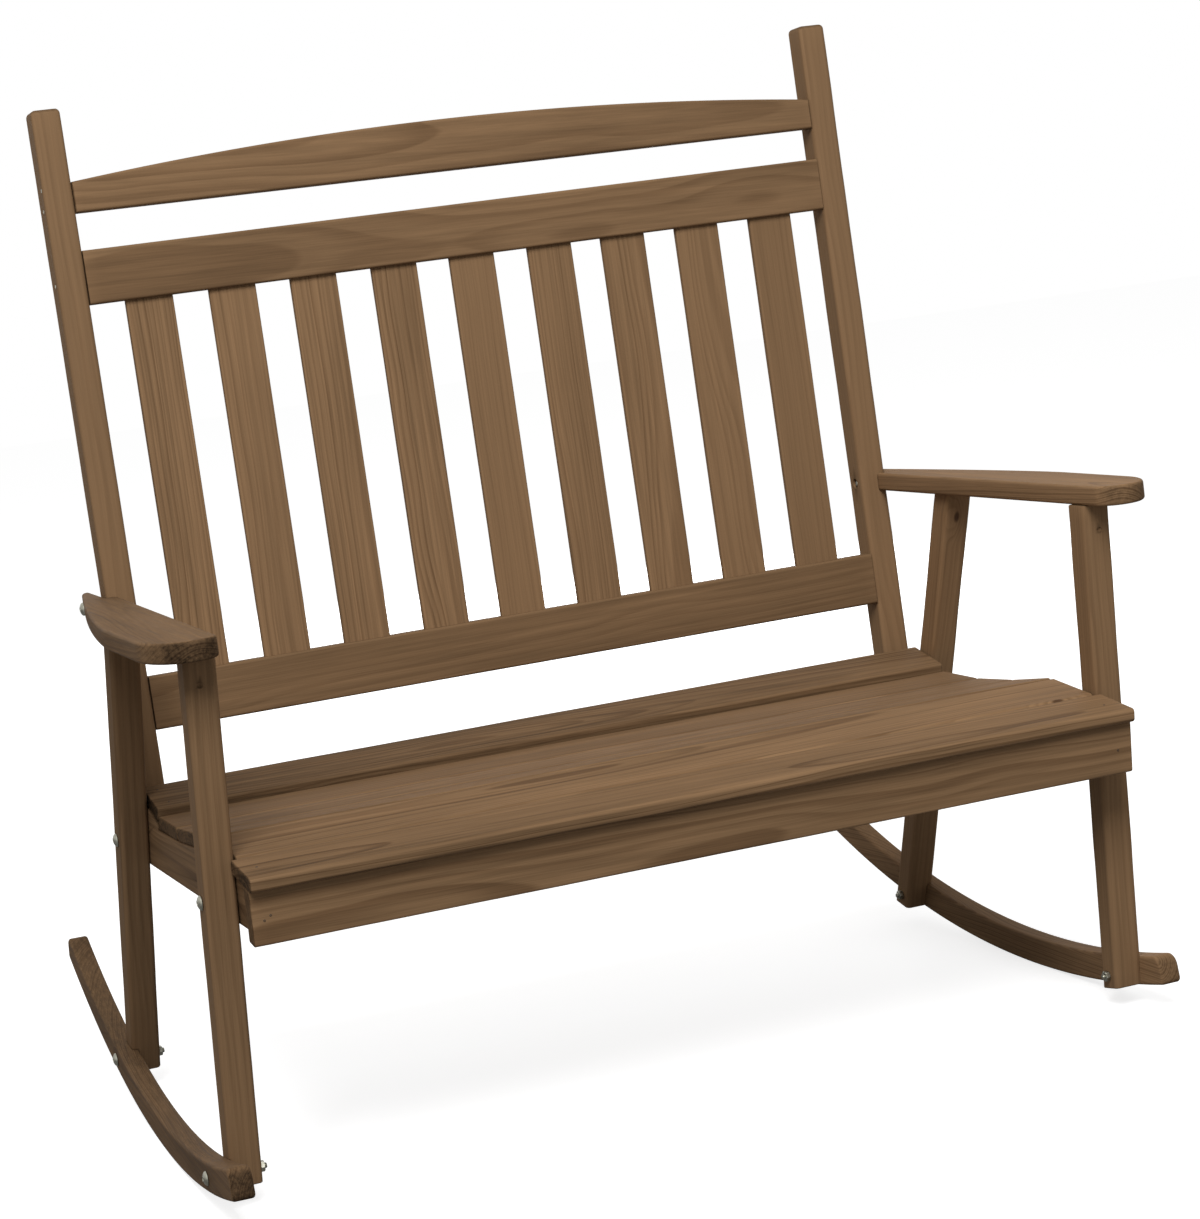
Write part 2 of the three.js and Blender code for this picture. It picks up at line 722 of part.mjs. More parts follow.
// Angle about X that puts the centre of mass straight below the centre of the rocker arcs
function balanceAngle(group) {
  let mass = 0;
  const moment = new THREE.Vector3();
  group.updateMatrixWorld(true);
  group.traverse((o) => {
    if (!o.isMesh) return;
    const part = massOf(o);
    mass += part.mass;
    moment.add(part.moment);
  });
  const centre = moment.divideScalar(mass);
  return Math.atan2(rockerCentre.y - centre.y, rockerCentre.z - centre.z);
}

const bench = new THREE.Group();
const right = sideAssembly("right");
const left = sideAssembly("left");
left.scale.x = -1;
bench.add(right, left, backAssembly(), seatAssembly());
bench.rotation.x = balanceAngle(bench);

// Stand it on the floor with the origin at the bottom centre
const box = new THREE.Box3().setFromObject(bench, true);
bench.position.y -= (box.min.y + box.max.y) / 2;
bench.position.z -= box.min.z;

const root = new THREE.Group();
root.add(bench);
export default root;
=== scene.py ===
# %% Load the frame
import itertools
import math

import bmesh
import bpy
import numpy as np
from mathutils import Matrix, Vector


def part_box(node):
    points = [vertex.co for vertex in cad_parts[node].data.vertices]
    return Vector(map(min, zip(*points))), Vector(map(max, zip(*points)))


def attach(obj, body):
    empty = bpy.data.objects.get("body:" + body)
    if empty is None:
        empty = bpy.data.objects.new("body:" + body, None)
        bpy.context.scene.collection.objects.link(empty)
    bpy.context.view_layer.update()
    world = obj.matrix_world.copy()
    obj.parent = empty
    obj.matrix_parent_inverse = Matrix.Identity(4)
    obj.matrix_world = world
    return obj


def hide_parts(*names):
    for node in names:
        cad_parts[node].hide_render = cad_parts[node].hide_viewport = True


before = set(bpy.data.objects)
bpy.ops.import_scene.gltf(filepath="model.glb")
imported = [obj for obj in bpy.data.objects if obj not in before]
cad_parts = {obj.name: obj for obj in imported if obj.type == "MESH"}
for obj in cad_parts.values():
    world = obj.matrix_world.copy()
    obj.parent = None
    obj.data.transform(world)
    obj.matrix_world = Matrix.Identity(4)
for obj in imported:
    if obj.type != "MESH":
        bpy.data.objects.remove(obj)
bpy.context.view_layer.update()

print("CAD nodes:", len(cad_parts))

# %% [markdown]
# A porch rocking bench, made from planed and stained pine boards that are bolted together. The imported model
# gives the place and size of every board, but its faces are plain and its edges are coarse. Bevelling those
# meshes would round the notches and holes too, so each board is made again here as a smooth surface in the
# same place, and its edges then catch the light as sanded wood does. First a helper reads a board's own
# directions out of its CAD node. A person would lay a ruler on its flat sides; here the area that faces each
# way is added up, and the largest sum is a flat side.

# %% Read a board out of its CAD node
MM = 0.001
SLIVER = (0.01 * MM) ** 2
# Cosines of the angle between two ways that are near each other, square to each other, or the same.
NEAR_HINT, SQUARE, SAME_WAY = 0.7, 0.05, 0.9999
END_DEPTH = 2 * MM


def points_of(mesh):
    """The mesh's points, one to a row."""
    points = np.empty(3 * len(mesh.vertices), np.float32)
    mesh.vertices.foreach_get("co", points)
    return points.reshape(-1, 3).astype(float)


def corners_of(node):
    """Points of a CAD node, and the middle, area and facing of each of its triangles that has an area."""
    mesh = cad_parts[node].data
    mesh.calc_loop_triangles()
    index = np.empty(3 * len(mesh.loop_triangles), np.int32)
    mesh.loop_triangles.foreach_get("vertices", index)
    points = points_of(mesh)
    a, b, c = points[index.reshape(-1, 3)].transpose(1, 0, 2)
    cross = np.cross(b - a, c - a)
    twice = np.linalg.norm(cross, axis=1)
    keep = twice > SLIVER
    return points, ((a + b + c) / 3)[keep], twice[keep] / 2, cross[keep] / twice[keep, None]


def unit(vector):
    return np.array(vector, float) / np.linalg.norm(vector)


def facing(normals, areas, hint, square_to=None):
    """The way near the hint that the most area faces, made exactly square to another way if that is given."""
    near = normals @ unit(hint) > NEAR_HINT
    if square_to is not None:
        near &= np.abs(normals @ square_to) < SQUARE
    alike = normals[near] @ normals[near].T > SAME_WAY
    best = alike[(alike @ areas[near]).argmax()]
    way = unit((normals[near][best] * areas[near][best, None]).sum(0))
    if square_to is not None:
        way = unit(way - square_to * (way @ square_to))
    return way


class Board:
    """A board's own directions (length, side, face), its reach along each, and the two planes that end it."""

    def __init__(self, node, face, along, side=None):
        """face and along are rough hints; side, if given, is known to lie exactly across the board."""
        points, middles, areas, normals = corners_of(node)
        self.node = node
        self.face = facing(normals, areas, face)
        if side is None:
            self.side = facing(normals, areas, np.cross(self.face, along), self.face)
        else:
            self.side = unit(np.array(side) - self.face * (self.face @ side))
        self.length = np.cross(self.side, self.face)
        if self.length @ np.array(along, float) < 0:
            self.length = -self.length
        self.axes = np.stack([self.length, self.side, self.face])
        reach = points @ self.axes.T
        self.low, self.high = reach.min(0), reach.max(0)
        self.middle = (self.low + self.high) / 2
        self.size = self.high - self.low
        self.ends = [self.end_plane(middles, areas, normals, sign) for sign in (-1, 1)]

    def end_plane(self, middles, areas, normals, sign):
        """Facing and offset of the sawn end; where a round end has no such plane, the reach stands in."""
        way = facing(normals, areas, sign * self.length)
        offset = middles @ way
        there = (normals @ way > SAME_WAY) & (offset > offset.max() - END_DEPTH)
        if not there.any():
            return sign * self.length, sign * (self.high if sign > 0 else self.low)[0]
        return way, (offset[there] * areas[there]).sum() / areas[there].sum()

    def to_world(self, along, side, face):
        """Board coordinates to points in the frame."""
        return np.stack(np.broadcast_arrays(along, side, face), -1) @ self.axes

    def end_at(self, which, side, face):
        """Where the sawn end lies along the board, at a place on its section."""
        way, offset = self.ends[which]
        slant = self.axes @ way
        return (offset - side * slant[1] - face * slant[2]) / slant[0]

    def spot(self, from_end, from_middle):
        """A place on the face: millimetres from the near end, or from the far one if negative, and from the
        board's middle line."""
        along = (self.high if from_end < 0 else self.low)[0] + from_end * MM
        return self.to_world(along, self.middle[1] + from_middle * MM, self.high[2])


FRONT, UP, TOP, RIGHT, BACK, LEFT = (0, -1, 0), (0, 0, 1), (0, 0, 1), (1, 0, 0), (0, 1, 0), (-1, 0, 0)
SIDES = (("left", -1), ("right", 1))

probe = Board("left_back_post", FRONT, UP)
print("left back post, mm:", np.round(probe.size / MM, 1).tolist())

# %% [markdown]
# A mesh here is always a grid of points worked out by a formula, with squares between neighbours. Blender can
# turn the faces of a closed mesh outwards by itself. Smooth shading makes a few faces look like one rounding,
# and only edges that are sharper than a sanded rounding are kept sharp.

# %% From points to a smooth shell
SHARP = math.radians(32)


def add_object(name, data):
    made = bpy.data.objects.new(name, data)
    bpy.context.scene.collection.objects.link(made)
    return made


def face_outwards(mesh, merge=0.0):
    """Joins points that lie closer than merge, and turns the faces of a closed mesh outwards."""
    work = bmesh.new()
    work.from_mesh(mesh)
    if merge:
        bmesh.ops.remove_doubles(work, verts=work.verts[:], dist=merge)
    bmesh.ops.recalc_face_normals(work, faces=work.faces[:])
    work.to_mesh(mesh)
    work.free()


def shade_smooth(mesh, sharp=SHARP):
    mesh.polygons.foreach_set("use_smooth", np.ones(len(mesh.polygons), bool))
    mesh.set_sharp_from_angle(angle=sharp)


def squares(index):
    """Four-cornered faces between the neighbours in a grid of point numbers."""
    corners = index[:-1, :-1], index[:-1, 1:], index[1:, 1:], index[1:, :-1]
    return np.stack(corners, -1).reshape(-1, 4).tolist()


def make_shell(name, points, faces):
    """A smooth closed mesh with its faces turned outwards."""
    mesh = bpy.data.meshes.new(name)
    mesh.from_pydata(np.asarray(points).reshape(-1, 3).tolist(), [], faces)
    face_outwards(mesh)
    shade_smooth(mesh)
    return add_object(name, mesh)


def closed_rings(count, size):
    """Point numbers of rings laid one after another, then the same with each ring's first point repeated."""
    index = np.arange(count * size).reshape(count, size)
    return index, np.column_stack([index, index[:, 0]])


def tube_shell(name, rings):
    """Rings of points, each joined to the next, with a lid on the first ring and one on the last."""
    index, closed = closed_rings(*rings.shape[:2])
    return make_shell(name, rings, squares(closed) + [index[0].tolist(), index[-1].tolist()])


# %% [markdown]
# Every straight board is the same idea: a rounded rectangle carried along the board. A box with a Bevel
# modifier would give the same on average, but worked-out rings let the roundings waver a little along the
# board, as hand sanding leaves them, and follow ends that are sawn at a slant. The corners are quarter
# circles, and the last few rings draw in along a quarter circle too, which eases the ends. Points just
# beside each rounding keep the wide faces flat where the shading is smoothed.

# %% A straight board
FLAT_KEEPER = 0.7 * MM
FLAT_SHARES = (0.12, 0.3, 0.5, 0.7, 0.88)
CORNER_STEPS, EASE_STEPS = 7, 6
LEAST_ROUNDING_SHARE = 0.08
CORNERS_AND_NEXT = (((1, 1), (-1, 0)), ((-1, 1), (0, -1)), ((-1, -1), (1, 0)), ((1, -1), (0, 1)))
WAVE, WAVE_PEAK, WAVER_SHARE = 0.35, 1.6, 0.16
WAVE_RATES, WAVE_HEIGHTS = np.array((1, 2.3, 5.1)), np.array((1, 0.6, 0.3))


def quarter(steps):
    """Angles from 0 to a quarter turn."""
    return np.linspace(0, np.pi / 2, steps)


def drift(along, seed):
    """A slow waver between about -1 and 1: three sines of different lengths and heights, begun at random."""
    start = np.random.default_rng(seed).uniform(0, 2 * np.pi, 3)
    return np.sin(2 * np.pi * along / WAVE * WAVE_RATES + start) @ WAVE_HEIGHTS / WAVE_PEAK


def section(half_side, half_face, radius, inset):
    """Rounded rectangle, drawn in by the inset: at each corner a quarter circle of radius minus inset, and
    then points along the flat that follows it."""
    rounding = max(radius - inset, LEAST_ROUNDING_SHARE * radius)
    a, b = half_side - inset - rounding, half_face - inset - rounding
    ring = []
    for turn, ((x, y), ahead) in enumerate(CORNERS_AND_NEXT):
        angle = quarter(CORNER_STEPS) + turn * np.pi / 2
        arc = np.stack([x * a + rounding * np.cos(angle), y * b + rounding * np.sin(angle)], -1)
        span = 2 * (a, b)[turn % 2]
        hold = FLAT_KEEPER / max(span, 4 * FLAT_KEEPER)
        flat = np.array([hold, *FLAT_SHARES, 1 - hold])[:, None] * span * ahead
        ring += [arc, arc[-1] + flat]
    return np.concatenate(ring)


def eased(rounding):
    """A quarter-round edge: how far it draws in, rounding * (1 - sin), and how far it has advanced there,
    rounding * (1 - cos). The first place lies FLAT_KEEPER further in."""
    bend = quarter(EASE_STEPS)
    inset = np.concatenate([[rounding + FLAT_KEEPER], rounding * (1 - np.sin(bend))])
    return inset, np.concatenate([[0], rounding * (1 - np.cos(bend))])


def bar_shell(name, board, rounding, end_rounding, seed, stations=36):
    """Sections carried from one sawn end to the other, with eased ends. Each ring is a rounding, an inset, a
    share of the way from the first end to the last, and a shift that is added to it."""
    ends = list(zip(*eased(end_rounding)))
    rings = [(rounding, inset, 0, shift) for inset, shift in ends]
    for share in np.linspace(0, 1, stations)[1:-1]:
        waver = 1 + WAVER_SHARE * drift(share * board.size[0], seed)
        rings.append((rounding * waver, 0, share, end_rounding * (1 - 2 * share)))
    rings += [(rounding, inset, 1, -shift) for inset, shift in reversed(ends)]
    points = []
    for radius, inset, share, shift in rings:
        side, face = (section(*board.size[1:] / 2, radius, inset) + board.middle[1:]).T
        first, last = board.end_at(0, side, face), board.end_at(1, side, face)
        points.append(board.to_world(first + (last - first) * share + shift, side, face))
    return tube_shell(name, np.stack(points))


# %% [markdown]
# The rockers, the arms and the crest rail are sawn to a curve from a flat board. Each is the space between
# two curves, a lower and an upper one, with the same quarter-round rim all the way round. An extruded Blender
# curve with a bevel would do it too, but the points of two plain formulas are easier to check.

# %% A board sawn to two curves
ACROSS = 6
ACROSS_SHARES = np.linspace(0, 1, ACROSS + 1)[1:-1, None]


def rim_of(lower, upper):
    """The outline of the space between two curves, as one closed ring, with a few points across each end."""
    far = lower[-1] + (upper[-1] - lower[-1]) * ACROSS_SHARES
    near = upper[0] + (lower[0] - upper[0]) * ACROSS_SHARES
    return np.concatenate([lower, far, upper[::-1], near])


def inset_curves(lower, upper, inset):
    """Both curves moved inwards by the inset, square to the outline."""
    ring = rim_of(lower, upper)
    ahead = np.roll(ring, -1, 0) - np.roll(ring, 1, 0)
    normal = np.stack([-ahead[:, 1], ahead[:, 0]], -1)
    normal /= np.linalg.norm(normal, axis=1)[:, None]
    following = np.roll(ring, -1, 0)
    twice_area = np.sum(ring[:, 0] * following[:, 1] - following[:, 0] * ring[:, 1])
    moved = ring + normal * inset * np.sign(twice_area)
    n = len(lower)
    return moved[:n], moved[n + ACROSS - 1:2 * n + ACROSS - 1][::-1]


def cap_grid(n, first, fresh):
    """Point numbers of one face as a grid: at its border the ring that starts at first, and within it new
    points that start at fresh."""
    across = np.arange(ACROSS + 1)
    index = np.empty((n, ACROSS + 1), int)
    index[:, 0] = first + np.arange(n)
    index[-1, :] = first + n - 1 + across
    index[:, -1] = first + 2 * (n - 1) + ACROSS - np.arange(n)
    index[0, 1:-1] = first + 2 * (n - 1) + 2 * ACROSS - across[1:-1]
    index[1:-1, 1:-1] = fresh + np.arange((n - 2) * (ACROSS - 1)).reshape(n - 2, ACROSS - 1)
    return index


def sawn_shell(name, lower, upper, low, high, rounding, to_world):
    """Rings of the outline between two curves, from the face at low to the one at high, eased near both, and
    a grid of points that closes each face."""
    ease = list(zip(*eased(rounding)))
    levels = [(inset, low + rise) for inset, rise in ease] + [(0, (low + high) / 2)]
    levels += [(inset, high - rise) for inset, rise in reversed(ease)]
    curves = [inset_curves(lower, upper, inset) for inset, _ in levels]
    rings = [to_world(*rim_of(*pair).T, level) for pair, (_, level) in zip(curves, levels)]
    index, closed = closed_rings(len(rings), len(rings[0]))
    faces, points, fresh = squares(closed), list(rings), index.size
    for which in (0, -1):
        lower_in, upper_in = (curve[1:-1, None] for curve in curves[which])
        inner = (lower_in + (upper_in - lower_in) * ACROSS_SHARES).reshape(-1, 2)
        points.append(to_world(*inner.T, levels[which][1]))
        faces += squares(cap_grid(len(lower), index[which][0], fresh))
        fresh += len(inner)
    return make_shell(name, np.concatenate(points), faces)


# %% [markdown]
# Bolts, nuts, drills and screw heads are all turned: a profile of radius and height, spun about a line, as on
# a lathe. Holes and notches are cut with Boolean modifiers, as they would be with a saw and a drill. They are
# applied at once, so that the grain can be laid on the finished shape.

# %% Lathe and cutting tools
DRILL = {"lead": 2 * MM, "tip_share": 0.2, "point_share": 0.5}


def across(way):
    """Two directions square to a given one."""
    first = unit(np.cross(way, UP if abs(way[2]) < 0.9 else RIGHT))
    return first, np.cross(way, first)


def lathe(name, start, way, profile, shape=None, turns=40):
    """Point = start + height * way + radius * (cos * right + sin * up), where shape(angle, row) may scale the
    radius."""
    way = unit(way)
    right, up = across(way)
    angle = np.arange(turns) * 2 * np.pi / turns
    radius, height = np.array(profile, float).T
    if shape:
        radius = radius[:, None] * shape(angle[None, :], np.arange(len(radius))[:, None])
    else:
        radius = np.repeat(radius[:, None], turns, 1)
    around = np.cos(angle)[:, None] * right + np.sin(angle)[:, None] * up
    return tube_shell(name, np.array(start, float) + radius[..., None] * around + height[:, None, None] * way)


def drill(start, way, width, depth):
    """A round tool with a blunt point, which enters the wood at start and reaches the depth at full width."""
    r, full = width / 2, DRILL["lead"] + depth
    profile = [(r, 0), (r, full), (DRILL["tip_share"] * r, full + DRILL["point_share"] * r)]
    return lathe("drill", np.array(start) - DRILL["lead"] * unit(way), way, profile, turns=28)


def cut(piece, tools):
    """Takes each tool's solid away from the piece and removes the tool."""
    for tool in tools:
        boolean = piece.modifiers.new("cut", "BOOLEAN")
        boolean.operation = "DIFFERENCE"
        boolean.solver = "EXACT"
        boolean.object = tool
        graph = bpy.context.evaluated_depsgraph_get()
        done = bpy.data.meshes.new_from_object(piece.evaluated_get(graph), depsgraph=graph)
        piece.modifiers.clear()
        piece.data = done
        bpy.data.objects.remove(tool)
    shade_smooth(piece.data)


# %% [markdown]
# Wood grain comes from the tree. Year rings are cylinders about the pith, and a board is a slice somewhere
# beside it: near the pith its face shows arches, further off it shows straight lines. An unwrapped picture
# would repeat and would not meet at the edges, so every board gets its own place in a tree instead, written
# on its points: how far along the trunk, and how far from the pith in the two directions across it. The
# material then only has to draw rings. The place from a knot, wear on the edges, sawn ends and the board's
# shade are stored in the same way; on some boards that shade also holds painted light and painted shade.

# %% Lay the grain on a board
RING = 4.6 * MM
NO_KNOT = (1.0, 1.0, 1.0)
EDGE_WIDTH = 4 * MM
SAWN_FROM, SAWN_SPAN = 0.25, 0.45
TONE_SPREAD = 0.02
TRUNK = (2, 30)


def lay_grain(piece, board, seed, pith, lean=(0, 0), tone=0.0, ring=RING, knot=None, strong=1.0, fade=0.0):
    """Stores on the points: timber = place from the pith, whose offsets are given in metres and drift by the
    lean in degrees, stretched across so that every tree has rings of one width; knot = place from the middle
    of a knot, far off where there is none; edge = 1 on a rounded edge; cut = 1 on sawn ends; tone = the
    board's shade, partly its own and on some boards partly painted light and painted shade, which grows by
    fade per metre along it, painted light that brightens one end; strong = how clearly its grain shows."""
    mesh = piece.data
    rng = np.random.default_rng(seed)
    normals = np.array([n.vector for n in mesh.vertex_normals])
    reach = points_of(mesh) @ board.axes.T
    place = reach - board.middle
    drawn = np.array(pith) + place[:, :1] * np.tan(np.radians(lean))
    timber = np.column_stack([place[:, 0] + rng.uniform(*TRUNK), (place[:, 1:] + drawn) * RING / ring])
    from_knot = np.tile(NO_KNOT, (len(place), 1)) if knot is None else reach - board.axes @ board.spot(*knot)
    inside = np.sort(board.size / 2 - np.abs(place), axis=1)[:, 1]
    sawn = (np.abs(normals @ board.length) - SAWN_FROM) / SAWN_SPAN
    # The last term is painted light: the board grows brighter towards one end.
    tones = tone + rng.normal(0, TONE_SPREAD) + fade * place[:, 0]
    for key, values in (
        ("timber", timber), ("knot", from_knot), ("edge", np.clip(1 - inside / EDGE_WIDTH, 0, 1)),
        ("cut", np.clip(sawn, 0, 1)), ("tone", tones), ("strong", np.full(len(place), strong)),
    ):
        kind, field = ("FLOAT_VECTOR", "vector") if values.ndim == 2 else ("FLOAT", "value")
        store = mesh.attributes.get(key) or mesh.attributes.new(key, kind, "POINT")
        store.data.foreach_set(field, np.ascontiguousarray(values, np.float32).ravel())


# %% [markdown]
# Shader maths reads best as sums. A Wire is one value on its way through the nodes, and adding or multiplying
# wires adds the Math nodes. Everything else is made by one method that takes the node's type, its settings
# and what goes into its sockets. A Sheet is a tree of nodes, and a Finish is the sheet of a material.

# %% Writing node trees as sums
class Wire:
    """A socket with arithmetic: each operation adds a Math node and gives its result back."""

    def __init__(self, sheet, socket):
        self.sheet, self.socket = sheet, socket

    def math(self, operation, *values):
        return self.sheet.node("ShaderNodeMath", {"operation": operation}, dict(enumerate(values)))

    def __add__(self, other):
        return self.math("ADD", self, other)

    def __sub__(self, other):
        return self.math("SUBTRACT", self, other)

    def __rsub__(self, other):
        return self.math("SUBTRACT", other, self)

    def __mul__(self, other):
        return self.math("MULTIPLY", self, other)

    def __truediv__(self, other):
        return self.math("DIVIDE", self, other)

    def part(self):
        """What is left after the whole number."""
        return self.math("FRACT", self)

    def or_else(self, other):
        """The larger of two; of two masks, where either is 1."""
        return self.math("MAXIMUM", self, other)

    __radd__ = __add__
    __rmul__ = __mul__


class Sheet:
    """A tree of nodes, and short names for the nodes that are used often."""

    def __init__(self, tree):
        self.tree = tree

    def node(self, kind, settings=None, values=None, out=0):
        """A node, its settings and what goes into its sockets; out names or numbers what comes out."""
        made = self.tree.nodes.new(kind)
        for key, value in (settings or {}).items():
            setattr(made, key, value)
        for key, value in (values or {}).items():
            if isinstance(value, Wire):
                self.tree.links.new(value.socket, made.inputs[key])
            else:
                made.inputs[key].default_value = value
        return Wire(self, made.outputs[out] if made.outputs else None)

    def vector(self, operation, a, b=None, out=0):
        values = {0: a} if b is None else {0: a, 1: b}
        return self.node("ShaderNodeVectorMath", {"operation": operation}, values, out)

    def stretch(self, place, scale):
        return self.vector("MULTIPLY", place, scale)

    def length(self, place):
        return self.vector("LENGTH", place, out="Value")

    def noise(self, place, detail, out="Fac"):
        return self.node("ShaderNodeTexNoise", None, {"Vector": place, "Scale": 1.0, "Detail": detail}, out)

    def step(self, value, low, high, down=0.0, up=1.0):
        """Smooth change from down to up as the value goes from low to high."""
        values = {0: value, 1: low, 2: high, 3: down, 4: up}
        return self.node("ShaderNodeMapRange", {"interpolation_type": "SMOOTHSTEP"}, values)

    def mix(self, factor, a, b):
        """A colour between a and b; 6, 7 and 2 are the sockets that hold colours."""
        return self.node("ShaderNodeMix", {"data_type": "RGBA"}, {0: factor, 6: a, 7: b}, out=2)

    def brighten(self, colour, factor):
        return self.node("ShaderNodeVectorMath", {"operation": "SCALE"}, {0: colour, "Scale": factor})

    def bump(self, height, strength, distance):
        values = {"Strength": strength, "Distance": distance, "Height": height}
        return self.node("ShaderNodeBump", None, values)


class Finish(Sheet):
    """The sheet of a new material, with constants set on its shader. Underlines stand for spaces in names."""

    def __init__(self, name, **constants):
        self.material = bpy.data.materials.new(name)
        self.material.use_nodes = True
        super().__init__(self.material.node_tree)
        self.shader = self.tree.nodes["Principled BSDF"]
        for key, value in constants.items():
            self.shader.inputs[key.replace("_", " ")].default_value = value

    def attribute(self, name, out="Fac"):
        settings = {"attribute_name": name, "attribute_type": "GEOMETRY"}
        return self.node("ShaderNodeAttribute", settings, out=out)

    def wire_up(self, **links):
        for key, value in links.items():
            self.tree.links.new(value.socket, self.shader.inputs[key.replace("_", " ")])


# %% [markdown]
# The finish is a thin brown stain on planed pine, nearly matt. It shows the rings as low, broad bands, darker
# in the hard late wood. Sawn ends drink more and go dark, worn edges are a little lighter, and a knot bends
# the rings round it. A ring is the distance from the pith, divided by the ring width; noise along the trunk
# makes the rings wander. The colour changes little over a flat face, as the photograph shows, so it all works
# on one pair of browns.

# %% Stained pine
EARLY = (0.217, 0.1295, 0.0665, 1)
LATE = (0.128, 0.0715, 0.0350, 1)
KNOT = (0.045, 0.022, 0.012, 1)
LATE_FROM, LATE_FULL, LATE_ENDS = 0.25, 0.86, 0.90
WANDER, WANDER_SCALE = 0.030, (2.3, 7, 7)
UNEVEN = {"rate": 90, "rings": 2.2}
KNOT_SHAPE, KNOT_CORE, KNOT_RIM, SWIRL_RIM, SWIRL_RINGS = (0.5, 1, 0.4), 2 * MM, 5 * MM, 22 * MM, 2.5
BLOTCH_SCALE, STREAK_SCALE, FIBRE_SCALE = (2.6, 14, 14), (2.8, 170, 170), (14, 950, 950)


def stained_pine(name="stained pine"):
    """Rings = radius / ring width, bent by noise. In a ring, late wood comes up slowly and ends sharply."""
    wood = Finish(name, IOR=1.4, Specular_IOR_Level=0.08)
    timber, from_knot = wood.attribute("timber", "Vector"), wood.attribute("knot", "Vector")
    edge, sawn, tone, strong = (wood.attribute(key) for key in ("edge", "cut", "tone", "strong"))

    wander = wood.noise(wood.stretch(timber, WANDER_SCALE), 1.5, out="Color")
    wander = wood.stretch(wood.vector("SUBTRACT", wander, (0.5, 0.5, 0.5)), (0, WANDER, WANDER))
    radius = wood.length(wood.stretch(wood.vector("ADD", timber, wander), (0, 1, 1)))
    line = {"noise_dimensions": "1D"}
    values = {"W": radius * UNEVEN["rate"], "Scale": 1.0, "Detail": 1.0}
    uneven = wood.node("ShaderNodeTexNoise", line, values)
    knot = wood.length(wood.stretch(from_knot, KNOT_SHAPE))
    swirl = wood.step(knot, KNOT_CORE, SWIRL_RIM, 1.0, 0.0)
    rings = radius / RING + uneven * UNEVEN["rings"] + swirl * SWIRL_RINGS

    share = rings.part()
    late = wood.step(share, LATE_FROM, LATE_FULL) * (1 - wood.step(share, LATE_ENDS, 1.0))
    strength = wood.node("ShaderNodeTexWhiteNoise", line, {"W": rings - share})
    late = late * (0.25 + 0.75 * strength)
    fibre = wood.noise(wood.stretch(timber, FIBRE_SCALE), 2.0) - 0.5
    streak = wood.noise(wood.stretch(timber, STREAK_SCALE), 2.5) - 0.5
    blotch = wood.noise(wood.stretch(timber, BLOTCH_SCALE), 2.0) - 0.5

    colour = wood.mix(late * (0.62 * strong + 0.3 * sawn), EARLY, LATE)
    colour = wood.mix(wood.step(knot, KNOT_CORE, KNOT_RIM, 0.85, 0.0), colour, KNOT)
    uneven_stain = (0.38 * fibre + 0.50 * streak + 0.42 * blotch) * strong
    # The board's shade lifts or lowers whole boards: partly their own tone, partly painted light and painted
    # shade.
    wood.wire_up(
        Base_Color=wood.brighten(colour, 1 + uneven_stain + tone + 0.10 * edge - 0.42 * sawn),
        Roughness=0.66 + 0.25 * streak - 0.06 * late + 0.12 * sawn,
        Normal=wood.bump(fibre * 0.7 - late * 0.5, 0.35, 0.25 * MM),
    )
    return wood.material


PINE = stained_pine()


def finish_piece(piece, node, material=PINE):
    """Gives the piece its finish, hangs it under the root body, and hides the CAD node that it replaces, if
    there is one.
    """
    piece.data.materials.append(material)
    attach(piece, "root")
    if node:
        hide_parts(node)


print("finish:", PINE.name, len(PINE.node_tree.nodes), "nodes")

# %% [markdown]
# The back: two square posts, three rails between them, and nine thin slats let into the rails. In the
# photograph the rails are flush with the posts and the slats lie a little behind. The nut of each arm bolt
# lies in a wide hole in the post's inner face, which is drilled here. The slats are all sawn alike, but each
# comes from another place in the tree, so it gets its own grain.

# %% Posts
seeds = itertools.count(1)
NUT_HOLE = {"width": 13.2 * MM, "depth": 9 * MM}


def on_axis(x, low, high):
    """The place at x on the middle line of a box, along X."""
    return x, (low.y + high.y) / 2, (low.z + high.z) / 2


for side, sign in SIDES:
    seed = next(seeds)
    board = Board(side + "_back_post", FRONT, UP)
    post = bar_shell(side + "_post_timber", board, rounding=6 * MM, end_rounding=6 * MM, seed=seed)
    inner_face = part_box(board.node)[sign < 0].x
    bore_at = on_axis(inner_face, *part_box(side + "_arm_nut"))
    cut(post, [drill(bore_at, (sign, 0, 0), **NUT_HOLE)])
    # The left post is given a darker tone than the right one: painted shade.
    tone = -0.04 + 0.04 * sign
    lay_grain(post, board, seed, pith=(0.055, 0.075), lean=(0.4, -0.3), tone=tone, strong=0.5)
    finish_piece(post, board.node)
    print(board.node, "nut hole at a height of", round(bore_at[2] / MM, 1), "mm")

# %% Rails and back slats
SLAT_GRAIN = (1.4, 1.0, 1.3, 1.5, 0.6, 1.1, 1.2, 0.8, 0.5)


def plain_board(node, look, run, seed, rounding, end_rounding, stations=60, **grain):
    """A straight board with nothing cut out of it: its shell, its grain and its finish."""
    board = Board(node, look, run)
    piece = bar_shell(node + "_timber", board, rounding, end_rounding, seed, stations)
    lay_grain(piece, board, seed, **grain)
    finish_piece(piece, node)


for name, pith, lean, tone, ring in (
    ("upper_back_rail", (0.012, 0.050), (1.2, 0.8), -0.10, 8 * MM),
    # The lower rail's darker tone is painted shade.
    ("lower_back_rail", (-0.030, 0.085), (-0.6, 0.4), -0.21, 5 * MM),
):
    plain_board(name, FRONT, RIGHT, next(seeds), rounding=3 * MM, end_rounding=0.4 * MM,
                pith=pith, lean=lean, tone=tone, ring=ring)

